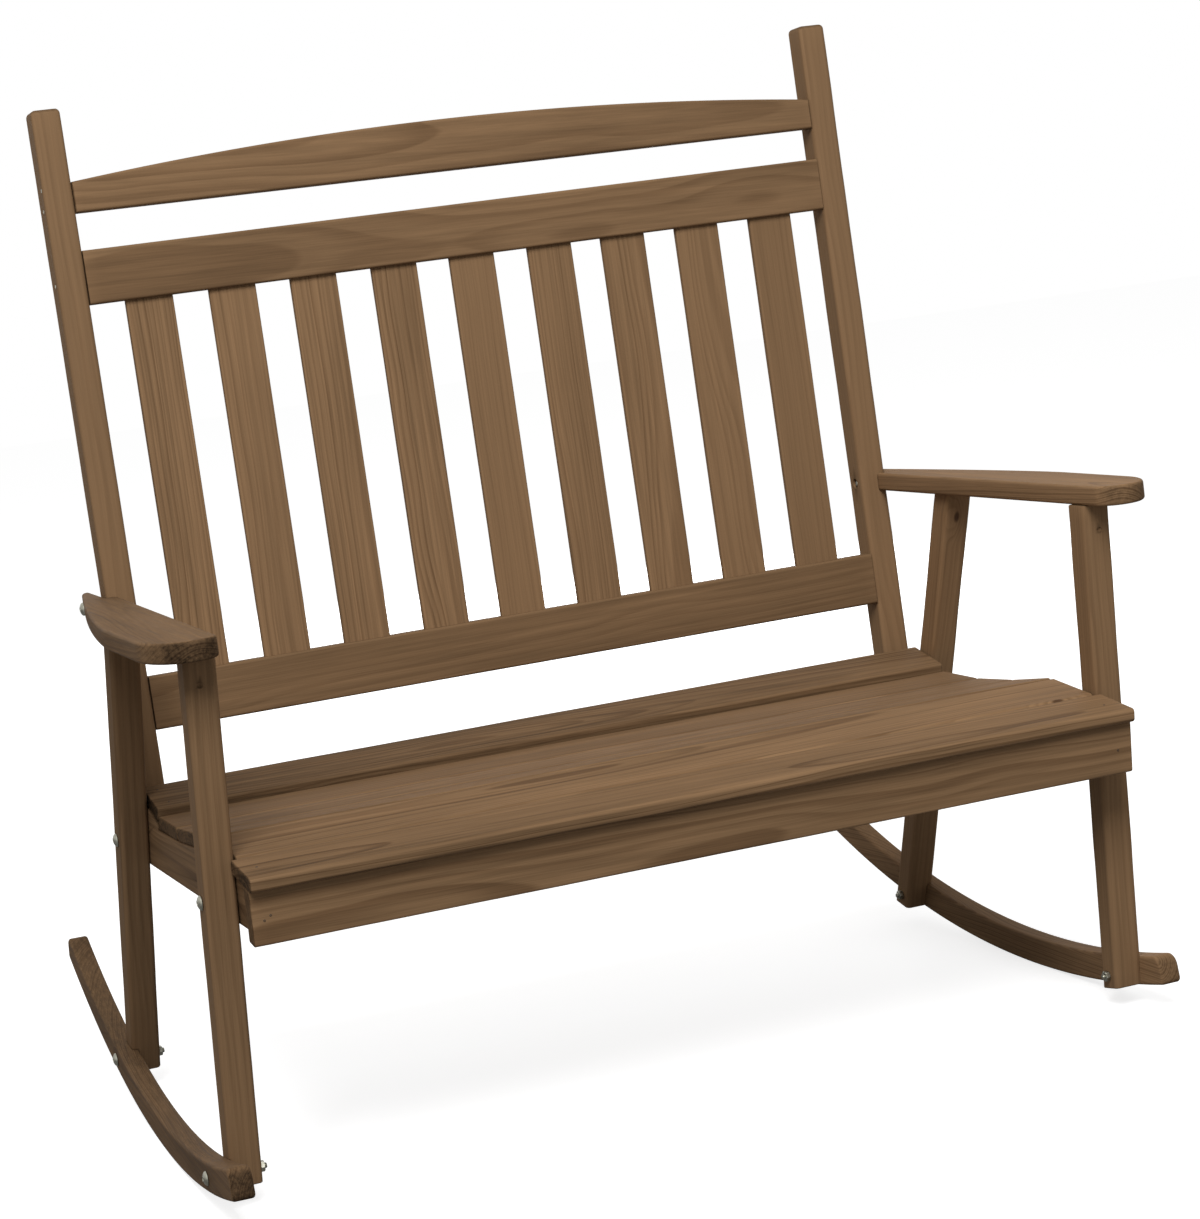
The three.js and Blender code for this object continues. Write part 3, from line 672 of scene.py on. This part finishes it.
for number, strong in enumerate(SLAT_GRAIN, 1):
    seed = next(seeds)
    spread = np.random.default_rng(seed)
    pith = (spread.uniform(0.02, 0.12) * spread.choice([-1, 1]), 0.11)
    lean = spread.uniform(-0.5, 0.5, 2)
    plain_board(f"back_slat_{number}", FRONT, UP, seed, rounding=2.5 * MM, end_rounding=1.0 * MM, stations=36,
                pith=pith, lean=lean, ring=3.4 * MM, strong=strong)
print("rails and", len(SLAT_GRAIN), "slats made")

# %% [markdown]
# The crest rail is straight below and arched above. The arch is so flat that a parabola and a circle can't be
# told apart, so its height is the middle's height less the square of the way to the end.

# %% Crest rail
CREST = {"end": 36.5 * MM, "middle": 62.5 * MM, "skew": 2.7 * MM, "ease": 3 * MM, "stations": 90}


def crest_curves(board):
    """Lower edge: a line that drops by twice the skew to the right. Upper edge: higher than that by
    end + (middle - end) * (1 - s * s), where s goes from -1 to 1."""
    share = np.linspace(-1, 1, CREST["stations"])
    run = board.middle[0] + board.size[0] / 2 * share
    level = board.low[1] + CREST["skew"] * (1 - share)
    rise = CREST["end"] + (CREST["middle"] - CREST["end"]) * (1 - share ** 2)
    return np.stack([run, level], -1), np.stack([run, level + rise], -1)


board = Board("crest_rail", FRONT, RIGHT, side=Board("upper_back_rail", FRONT, RIGHT).side)
lower, upper = crest_curves(board)
rear, front = board.low[2], board.high[2]
crest = sawn_shell("crest_rail_timber", lower, upper, rear, front, CREST["ease"], board.to_world)
lay_grain(crest, board, next(seeds), pith=(-0.015, 0.038), lean=(2.2, 1.4), tone=-0.07, ring=9 * MM)
finish_piece(crest, board.node)
print("crest rail, mm:", np.round(board.size / MM, 1).tolist())

# %% [markdown]
# The seat: a nose slat, four slats in the dish, and one a step higher at the back, with an apron in front and
# a stretcher behind. The slats have well rounded edges, which the light picks out as thin lines. The side
# rails and the bearer below are cut to the dish and mostly hidden, so they keep their CAD shape: a copy of it
# is merged, because a CAD mesh is loose triangles, and only gets its grain.

# %% Seat boards
KNOTS = {"seat_slat_2": (-45.5, -46.5), "right_rear_leg": (-35, 1)}
CAD_SHARP, CAD_MERGE = math.radians(20), 0.01 * MM

# All seat boards grow brighter towards their right ends: painted light.
for name, rounding, pith, lean, tone in (
    ("seat_nose_slat", 4.5 * MM, (0.010, 0.070), (0.5, 0.4), -0.16),
    ("seat_slat_2", 4.8 * MM, (-0.030, 0.060), (-0.7, 0.5), -0.02),
    ("seat_slat_3", 4.8 * MM, (0.050, 0.050), (0.6, -0.6), -0.08),
    ("seat_slat_4", 4.8 * MM, (0.000, 0.090), (-0.5, 0.3), -0.02),
    ("seat_slat_5", 4.8 * MM, (-0.060, 0.070), (0.8, 0.3), -0.10),
    ("seat_rear_slat", 3.2 * MM, (0.008, 0.034), (1.4, 0.9), -0.33),
):
    plain_board(name, TOP, RIGHT, next(seeds), rounding, end_rounding=2 * MM, pith=pith, lean=lean,
                tone=tone, ring=4.2 * MM, knot=KNOTS.get(name), strong=1.6, fade=0.22)

# The apron and the stretcher get a darker tone, which is painted shade as under the nose slat, and grow
# brighter towards their right ends, which is painted light.
for name in ("front_apron", "rear_stretcher"):
    plain_board(name, FRONT, RIGHT, next(seeds), rounding=3 * MM, end_rounding=1.5 * MM,
                pith=(0.02, 0.06), lean=(0.6, 0.4), tone=-0.14, strong=1.3, fade=0.10)

# The side rails and the bearer get a dark tone, which is partly their own and partly painted shade between
# the legs and under the seat.
for node in ("left_seat_side_rail", "right_seat_side_rail", "middle_bearer"):
    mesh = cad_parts[node].data.copy()
    face_outwards(mesh, CAD_MERGE)
    mesh.materials.clear()
    shade_smooth(mesh, CAD_SHARP)
    piece = add_object(node + "_timber", mesh)
    board = Board(node, RIGHT, BACK)
    lay_grain(piece, board, next(seeds), pith=(0.03, 0.07), lean=(0.3, 0.4), tone=-0.34, strong=1.3)
    finish_piece(piece, node)
print("seat made")

# %% [markdown]
# Rockers. Each is a part of a ring, in a plane that toes outwards to the front. Its circle could be typed in,
# but then it might part from the CAD, so it is found from the node's points: for all points on a circle,
# y squared plus z squared is a plain sum of y, z and 1, and the best three factors give centre and radius.

# %% The plane and circle of a rocker
RIM_MARGIN = 3 * MM
MIDDLE_SHARES = (0.15, 0.85)


def circle_through(points):
    """Centre and radius of the circle that fits flat points best."""
    sums = np.column_stack([2 * points, np.ones(len(points))])
    (y, z, rest), *_ = np.linalg.lstsq(sums, (points ** 2).sum(1), rcond=None)
    return np.array([y, z]), math.sqrt(rest + y * y + z * z)


class RockerPlane:
    """The rocker's own plane, its centre and its two radii."""

    def __init__(self, node, sign):
        points, _, areas, normals = corners_of(node)
        self.face = facing(normals, areas, (sign, 0, 0))
        self.run = unit(np.cross(UP, self.face)) * sign
        self.up = np.cross(self.face, self.run) * sign
        flat, thick = points @ np.stack([self.run, self.up]).T, points @ self.face
        self.low, self.high = thick.min(), thick.max()
        half = (self.high - self.low) / 2
        rim = np.abs(thick - self.low - half) < half - RIM_MARGIN
        self.centre, _ = circle_through(flat[rim])
        reach, angle = self.polar(flat)
        outer = rim & (reach > reach[rim].mean())
        first, last = np.quantile(angle, MIDDLE_SHARES)
        self.centre, self.radius = circle_through(flat[outer & (angle > first) & (angle < last)])
        reach, angle = self.polar(flat)
        self.top, self.first, self.last = reach.min(), angle.min(), angle.max()

    def polar(self, flat):
        """Distance from the centre, and angle from straight below it."""
        across, up = (flat - self.centre).T
        return np.hypot(across, up), np.arctan2(across, -up)

    def to_world(self, arc, radius, level):
        """arc = length along the running edge from the lowest point."""
        angle = arc / self.radius
        across, up = self.centre[0] + radius * np.sin(angle), self.centre[1] - radius * np.cos(angle)
        return across[:, None] * self.run + up[:, None] * self.up + level * self.face


planes = {side: RockerPlane(side + "_rocker", sign) for side, sign in SIDES}
print("running radius:", {side: round(plane.radius, 4) for side, plane in planes.items()})

# %% Rockers
TIP = {"below": 6 * MM, "above": 15 * MM, "ease": 3.5 * MM, "steps": 9}
ARC_STATIONS = 90


def rounded_run(first, last, near, steps):
    """Stations from first to last, crowded within near of both ends as 1 - cos and sin are."""
    bend = quarter(TIP["steps"])
    middle = np.linspace(first + near, last - near, steps)[1:-1]
    return np.concatenate([first + near * (1 - np.cos(bend)), middle, last - near + near * np.sin(bend)])


def drawn_in(run, first, last, radius):
    """How far a corner of this radius has drawn in at each station: the radius less its circle's height."""
    gone = np.clip(radius - np.minimum(run - first, last - run), 0, radius)
    return radius - np.sqrt(radius ** 2 - gone ** 2)


def rocker_solid(name, plane, grow=0.0):
    """The ring between the two radii, rounded below and more broadly above at both tips; grow makes it larger
    all round, to cut notches with."""
    first, last = plane.first * plane.radius - grow, plane.last * plane.radius + grow
    run = rounded_run(first, last, TIP["above"], ARC_STATIONS)
    lower = plane.radius + grow - drawn_in(run, first, last, TIP["below"])
    upper = plane.top - grow + drawn_in(run, first, last, TIP["above"])
    lower, upper = np.stack([run, lower], -1), np.stack([run, upper], -1)
    return sawn_shell(name, lower, upper, plane.low - grow, plane.high + grow, TIP["ease"], plane.to_world)


for side, sign in SIDES:
    plane = planes[side]
    piece = rocker_solid(side + "_rocker_timber", plane)
    board = Board(side + "_rocker", plane.face, plane.run, plane.up)
    # The left rocker is given a darker tone and the right one a lighter tone: painted shade and painted
    # light.
    lay_grain(piece, board, next(seeds), pith=(0.02, 0.030), lean=(0.6, 1.0), tone=-0.10 + 0.23 * sign,
              ring=2.8 * MM, strong=1.3)
    finish_piece(piece, board.node)
    print(board.node, "arc", round((plane.last - plane.first) * plane.radius, 4))

# %% [markdown]
# Legs. They pass from the floor to the arms, and each is notched on its outer side for the rocker. The notch
# is cut with the rocker's own shape, grown by the fit, so that it follows the curve and the toe. A pocket
# hole near the top of each front leg, filled almost flush, hides the screw that holds the arm.

# %% Legs
FIT = 0.3 * MM
POCKET = {"width": 7 * MM, "depth": 0.8 * MM}
POCKET_DOWN, POCKET_OUT = 31, 2.3
# Left legs darker and right legs lighter: painted shade and painted light, on top of each leg's own tone.
LEG_TONE_AND_PAINTED_LIGHT = {"left_front_leg": -0.16, "right_front_leg": 0.03, "left_rear_leg": -0.24, "right_rear_leg": 0.16}

for side, sign in SIDES:
    for name in ("front_leg", "rear_leg"):
        seed = next(seeds)
        board = Board(f"{side}_{name}", FRONT, UP)
        piece = bar_shell(f"{side}_{name}_timber", board, rounding=6 * MM, end_rounding=1.5 * MM, seed=seed)
        tools = [rocker_solid("notch", planes[side], FIT)]
        if name == "front_leg":
            outwards = POCKET_OUT * sign * np.sign(board.side[0])
            tools.append(drill(board.spot(-POCKET_DOWN, outwards), -board.face, **POCKET))
        cut(piece, tools)
        lay_grain(piece, board, seed, pith=(0.045, 0.06), lean=(0.5, -0.4), tone=LEG_TONE_AND_PAINTED_LIGHT[board.node],
                  ring=4 * MM, knot=KNOTS.get(board.node), strong=0.8)
        finish_piece(piece, board.node)
print("legs made")

# %% [markdown]
# Arms: flat boards with a broad rounded front. The outer edge bulges and draws in towards the back, and the
# inner one is notched for the post. Traced points would carry their own unevenness into the edge, so each
# edge is a short chain of formulas: ellipses at the ends, a line, and a power of the way to the rear, which
# was tried until the edge lay on the photograph's.

# %% Arms
ARM = {
    "outset": 72 * MM, "front_in": 3 * MM, "post_in": 13 * MM,
    "nose": 28 * MM, "round": 78 * MM, "straight": 230 * MM, "power": 1.34,
    "rear_out": 12.2 * MM, "rear_round": 16 * MM, "corner": 4.5 * MM, "ease": 3.5 * MM,
}
ARM_STEPS = {"nose": 26, "broad": 64, "narrow": 14, "end": 16}
NOTCH_SLOPE, NOTCH_MARGIN, NOTCH_SEARCH, TIP_HALF = 0.3 * MM, 5 * MM, 0.5 * MM, 0.5 * MM


def ellipse_gap(run, reach):
    """1 less the height of a quarter circle of radius 1, as run goes from 0 to reach."""
    return 1 - np.sqrt(1 - np.clip(1 - run / reach, 0, 1) ** 2)


def arm_stations(length, notch):
    """Places along the arm from tip to rear end: crowded at both ends and at the step of the notch."""
    a, steps = ARM, ARM_STEPS
    rear = length - a["rear_round"]
    nose = a["round"] * (1 - np.cos(quarter(steps["nose"])))
    broad = np.linspace(a["round"], notch - NOTCH_MARGIN, steps["broad"])[1:]
    step = [notch - NOTCH_SLOPE, notch, notch + NOTCH_SLOPE]
    narrow = np.linspace(notch + NOTCH_MARGIN, rear, steps["narrow"])
    end = rear + a["rear_round"] * np.sin(quarter(steps["end"]))[1:]
    return np.concatenate([nose, broad, step, narrow, end])


def outer_edge(run, length):
    """Out from the post's face: quarter ellipse, straight, less the share of the way to the rear raised to a
    power, quarter ellipse."""
    a = ARM
    rear = length - a["rear_round"]
    nose_out = a["nose"] - a["front_in"]
    out = a["outset"] - (a["outset"] - nose_out) * ellipse_gap(run, a["round"])
    gone_share = np.clip((run - a["straight"]) / (rear - a["straight"]), 0, 1)
    out -= (a["outset"] - a["rear_out"]) * gone_share ** a["power"]
    end = a["rear_out"] - (a["rear_out"] - a["corner"]) * ellipse_gap(length - run, a["rear_round"])
    return np.where(run > rear, end, out)


def inner_edge(run, length, notch):
    """Out from the post's face: rounded corner, a slanting line to the notch, a step, and a line beside the
    post that ends in a small rounded corner."""
    a = ARM
    slant_share = np.clip((run - a["nose"]) / (notch - a["nose"]), 0, 1)
    out = -a["front_in"] - (a["post_in"] - a["front_in"]) * slant_share
    out += a["nose"] * ellipse_gap(run, a["nose"])
    out *= 1 - np.clip((run - notch + NOTCH_SLOPE) / (2 * NOTCH_SLOPE), 0, 1)
    return out + a["corner"] * ellipse_gap(length - run, a["corner"])


for side, sign in SIDES:
    node = side + "_arm"
    board = Board(node, TOP, BACK, side=(sign, 0, 0))
    post_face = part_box(side + "_back_post")[sign > 0].x * sign + FIT
    points = corners_of(node)[0]
    at_notch = np.abs(points[:, 0] * sign - post_face + ARM["post_in"]) < NOTCH_SEARCH
    notch = (points[at_notch] @ board.length).max() - board.low[0]
    length = board.size[0]
    run = arm_stations(length, notch)
    inner, outer = inner_edge(run, length, notch), outer_edge(run, length)
    for end, level in ((0, ARM["nose"] - ARM["front_in"]), (-1, ARM["corner"])):
        inner[end], outer[end] = level - TIP_HALF, level + TIP_HALF
    along = board.low[0] + run
    lower, upper = np.stack([along, post_face + inner], -1), np.stack([along, post_face + outer], -1)
    under, top = board.low[2], board.high[2]
    piece = sawn_shell(node + "_timber", lower, upper, under, top, ARM["ease"], board.to_world)
    # The left arm is given a darker tone and the right one a lighter tone: painted shade and painted light.
    lay_grain(piece, board, next(seeds), pith=(0.015, 0.045), lean=(0.7, 0.9), tone=-0.09 + 0.22 * sign,
              ring=2.8 * MM, strong=1.3)
    finish_piece(piece, node)
    print(node, "notch at", round(notch / MM, 1), "of", round(length / MM, 1), "mm")

# %% [markdown]
# Bolts and nuts, zinc plated. The heads are low domes with a hexagon socket, and the tail is threaded. A
# cylinder with a bevel would look cast; a lathe profile has the seat, the dome and the rings of the thread. A
# hexagon is the same with the radius shaped by the angle. The plating is a cloudy grey that is rougher where
# it is lighter, so one noise drives both.

# %% Zinc plate
def cloudy_metal(name, base, metallic, scale, detail, dark, light, smooth, rough, fine=None):
    """One noise takes the colour from dark to light and the roughness from smooth to rough. The bumps follow
    a finer noise, if its scale is given."""
    metal = Finish(name, Base_Color=base, Metallic=metallic)
    place = metal.node("ShaderNodeTexCoord", out="Object")
    cloud = metal.noise(metal.stretch(place, (scale, scale, scale)), detail)
    bumps = metal.noise(metal.stretch(place, (fine, fine, fine)), 1.0) if fine else cloud
    metal.wire_up(
        Base_Color=metal.mix(cloud, dark, light),
        Roughness=smooth + (rough - smooth) * cloud,
        Normal=metal.bump(bumps, 0.3, 0.05 * MM),
    )
    return metal.material


ZINC = cloudy_metal(
    "zinc plate", base=(0.4, 0.4, 0.36, 1), metallic=1.0, scale=300, detail=3.0, fine=2500,
    dark=(0.20, 0.195, 0.15, 1), light=(0.48, 0.47, 0.40, 1), smooth=0.26, rough=0.48)
print("finish:", ZINC.name, len(ZINC.node_tree.nodes), "nodes")

# %% Bolts and nuts
SHANK = 3.2 * MM
HEAD = {"radius": 8 * MM, "height": 4.4 * MM, "socket": 2.6 * MM}
THREAD = {"rows": 16, "pitch": 1 * MM, "start": 1 * MM, "core_share": 0.86}
NUT_FLATS = 11 * MM
NUT_ROW_SHARES = np.array((0, 0, 0.04, 0.08, 0.12, 0.16, 0.5, 0.84, 0.88, 0.92, 0.96, 1, 1))
HEX = np.cos(np.pi / 6)
ARM_BOLT_OUT = 7 * MM


def hexagon(angle):
    """Radius of a hexagon whose corners are 1 from its middle."""
    return HEX / np.cos((angle % (np.pi / 3)) - np.pi / 6)


def bolt_shell(name, low, high, sign):
    """Tail with rings of thread, plain shank, and a head domed as height * sin over radius * cos, with a
    hexagon socket in it."""
    radius, height, socket = HEAD.values()
    tail, length = (low.x if sign > 0 else high.x), high.x - low.x
    seat = length - height
    thread = [
        (SHANK * (THREAD["core_share"] if i % 2 else 1), THREAD["start"] + i * THREAD["pitch"] / 2)
        for i in range(THREAD["rows"])
    ]
    bend = np.linspace(0.12, np.pi / 2, 9)[:-1]
    bend = bend[radius * np.cos(bend) > socket * 1.12]
    dome = zip(radius * np.cos(bend), seat + height * np.sin(bend))
    profile = [
        (0.3 * SHANK, 0), (0.8 * SHANK, 0), *thread, (SHANK, thread[-1][1] + 0.6 * MM), (SHANK, seat),
        (radius * 0.97, seat), (radius, seat + 0.1 * height), *dome,
    ]
    rows = len(profile)
    profile += [
        (socket * 1.06, length), (socket, length - 0.2 * MM),
        (socket * 0.98, length - 0.55 * height), (0.1 * socket, length - 0.65 * height),
    ]

    def shape(angle, row):
        return np.where((row >= rows) & (row < rows + 3), hexagon(angle) / HEX * 0.93, 1.0)

    return lathe(name, on_axis(tail, low, high), (sign, 0, 0), profile, shape, turns=48)


def nut_shell(name, low, high):
    """Hexagon prism with its corners turned off at 30 degrees on both faces."""
    height, corner = high.x - low.x, NUT_FLATS / 2 / HEX
    rows = NUT_ROW_SHARES * height
    cone = np.minimum(rows, height - rows) / math.tan(math.radians(30)) + NUT_FLATS / 2 * 0.97
    profile = [(SHANK, 0), *((corner, row) for row in rows[1:-1]), (SHANK, height)]

    def shape(angle, row):
        turned = np.minimum(hexagon(angle), cone[row] / corner)
        return np.where((row == 0) | (row == len(rows) - 1), 1.0, turned)

    return lathe(name, on_axis(low.x, low, high), RIGHT, profile, shape, turns=48)


for side, sign in SIDES:
    for place in ("rocker_front", "rocker_rear", "front_leg", "rear_leg", "arm"):
        node = f"{side}_{place}_bolt"
        low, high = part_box(node)
        if place == "arm" and sign > 0:
            high.x += ARM_BOLT_OUT
        elif place == "arm":
            low.x -= ARM_BOLT_OUT
        finish_piece(bolt_shell(node + "_zinc", low, high, sign), node, ZINC)
        node = f"{side}_{place}_nut"
        finish_piece(nut_shell(node + "_zinc", *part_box(node)), node, ZINC)
print("bolts and nuts made")

# %% [markdown]
# Small screws hold the rails to the posts, and the slats and the apron to the seat's sides. Each is a low
# head with a cross cut into it, almost flush with the wood; a painted cross would look flat from close by.
# They lie where the photograph shows them. Those in the post are bare metal; the others are coloured almost
# black, which is painted shade for small nail holes.

# %% Small screws
PROUD = 0.3 * MM
CROSS_SHARE = 0.35
BARE, DARK_HEAD_RADIUS = 2.4 * MM, 1.4 * MM
SCREWS = {
    # Board: the way its face looks, the way it runs, and for each screw the millimetres from the near end, or
    # from the far one if negative, and from the middle line.
    "left_back_post": (LEFT, UP, [(-93.5, -11), (-118, -6), (-206, -6.5)]),
    "seat_rear_slat": (TOP, RIGHT, [(15, 20.5), (18, -23.5)]),
    "seat_nose_slat": (TOP, RIGHT, [(18, -1.5), (-20.5, -6.5)]),
    "front_apron": (FRONT, RIGHT, [(20.5, 1.5), (13.5, -3), (-18, -2)]),
}
# The dark heads are painted shade for small nail holes.
PAINTED_SHADE_HEAD = cloudy_metal(
    "painted shade screw head", base=(0.05, 0.035, 0.025, 1), metallic=0.5, scale=900, detail=2.0,
    dark=(0.030, 0.020, 0.014, 1), light=(0.085, 0.060, 0.042, 1), smooth=0.45, rough=0.75)


def screw_head(name, place, way, r):
    """A low dome with four notches in its middle: the radius of the inner rows swings four times a turn."""
    h = PROUD
    dome = [(0.6 * r, -4 * h), (r, -2 * h), (r, 0.2 * h), (0.9 * r, 0.7 * h), (0.75 * r, h)]
    cross = [(0.5 * r, h), (0.45 * r, -h)]

    def shape(angle, row):
        return np.where((row == 5) | (row == 6), 1 + CROSS_SHARE * np.cos(4 * angle), 1.0)

    return lathe(name, place, way, [*dome, *cross, (0.1 * r, -2 * h)], shape, turns=32)


for node, (look, run, spots) in SCREWS.items():
    board = Board(node, look, run)
    r, finish = (BARE, ZINC) if look == LEFT else (DARK_HEAD_RADIUS, PAINTED_SHADE_HEAD)
    for number, spot in enumerate(spots, 1):
        head = screw_head(f"{node}_screw_{number}", board.spot(*spot), board.face, r)
        finish_piece(head, None, finish)

# %% [markdown]
# The photograph was taken from the left, a little above the seat, with a long lens and a slight roll. The
# numbers are the solved camera: they were found from the long edges of the boards, because a camera set by
# eye would hide small faults in the shapes.

# %% Camera
LENS, SENSOR, NEAR_CLIP, FAR_CLIP = 94.0347, 36, 0.05, 60
STAND = (-1.19838, -3.65538, 1.06308)
azimuth, elevation, roll = np.radians([-19.270885, 8.073317, -6.935894])

camera = add_object("camera", bpy.data.cameras.new("camera"))
bpy.context.scene.camera = camera
camera.data.lens = LENS
camera.data.sensor_width = SENSOR
camera.data.clip_start, camera.data.clip_end = NEAR_CLIP, FAR_CLIP
level = np.array([math.cos(azimuth), math.sin(azimuth), 0])
heading = np.cross(UP, level)
ahead = heading * math.cos(elevation) - np.array(UP) * math.sin(elevation)
right = level * math.cos(roll) + np.cross(level, ahead) * math.sin(roll)
pose = np.eye(4)
pose[:3, :3] = np.stack([right, np.cross(right, ahead), -ahead], 1)
pose[:3, 3] = STAND
camera.matrix_world = Matrix(pose.tolist())
print("camera heading, degrees:", round(math.degrees(azimuth), 2))

# %% [markdown]
# Plain studio light. In the photograph the sides that face the camera are the bright ones and all below the
# seat is dark, so the key is one large soft lamp, high up near the camera. A weak one behind keeps the back
# from going dark in other views; it is left out of reflections, because it would shine on the seat. The world
# adds an even fill.

# %% Lamps
def soft_lamp(name, power, size, place, aim, glossy=True):
    """A square lamp that faces the point aim; without glossy it lights surfaces but isn't mirrored there."""
    lamp = bpy.data.lights.new(name, "AREA")
    lamp.energy, lamp.size = power, size
    holder = add_object(name, lamp)
    holder.location = place
    holder.rotation_mode = "QUATERNION"
    holder.rotation_quaternion = (Vector(aim) - holder.location).to_track_quat("-Z", "Y")
    holder.visible_glossy = glossy


soft_lamp("key", power=260, size=2.4, place=(-1.4, -3.6, 4.2), aim=(0, 0, 0.5))
soft_lamp("back", power=80, size=1.6, place=(1.6, 4.0, 1.0), aim=(0, 0, 0.7), glossy=False)
print("lamps:", [lamp.name for lamp in bpy.data.lights])

# %% [markdown]
# The background has to be white without lighting the bench more. So the world is white only to the camera and
# in reflections, and the floor glows only to the camera. It stays a lit surface as well, which keeps the
# bench's shadow; to all other rays it is a plain grey, so that it throws little light up under the seat.

# %% World and floor
WHITE = (1, 1, 1, 1)
FILL = 0.36
SEEN_GREY, BOUNCE_GREY, GLOW = 0.60, 0.30, 0.76
FLOOR = {"half": 12, "lines": 13, "level": -0.2 * MM}

scene = bpy.context.scene
scene.view_settings.view_transform = "Standard"
scene.world = bpy.data.worlds.new("studio")
scene.world.use_nodes = True
sky = Sheet(scene.world.node_tree)
sky.tree.nodes.clear()
to_camera, mirrored, through = (
    sky.node("ShaderNodeLightPath", out=name)
    for name in ("Is Camera Ray", "Is Glossy Ray", "Is Transmission Ray")
)
seen = to_camera.or_else(mirrored.or_else(through))
fill = sky.node("ShaderNodeBackground", None, {"Color": WHITE, "Strength": FILL})
white = sky.node("ShaderNodeBackground", None, {"Color": WHITE})
shown = sky.node("ShaderNodeMixShader", None, {0: seen, 1: fill, 2: white})
sky.node("ShaderNodeOutputWorld", None, {"Surface": shown})

paper = Finish("studio floor", Base_Color=(*[SEEN_GREY] * 3, 1), Roughness=0.95, Specular_IOR_Level=0.0)
glow = paper.node("ShaderNodeEmission", None, {"Color": WHITE, "Strength": GLOW})
lit = paper.node("ShaderNodeAddShader", None, {0: Wire(paper, paper.shader.outputs[0]), 1: glow})
dim = paper.node("ShaderNodeBsdfDiffuse", None, {"Color": (*[BOUNCE_GREY] * 3, 1)})
to_camera = paper.node("ShaderNodeLightPath", out="Is Camera Ray")
both = paper.node("ShaderNodeMixShader", None, {0: to_camera, 1: dim, 2: lit})
paper.tree.links.new(both.socket, paper.tree.nodes["Material Output"].inputs["Surface"])

line = np.linspace(-FLOOR["half"], FLOOR["half"], FLOOR["lines"])
y, x = np.meshgrid(line, line, indexing="ij")
points = np.stack([x, y, np.full_like(x, FLOOR["level"])], -1).reshape(-1, 3)
mesh = bpy.data.meshes.new("floor")
mesh.from_pydata(points.tolist(), [], squares(np.arange(x.size).reshape(x.shape)))
mesh.materials.append(paper.material)
floor = add_object("floor", mesh)
print("floor made, facing", tuple(round(v) for v in mesh.polygons[0].normal))
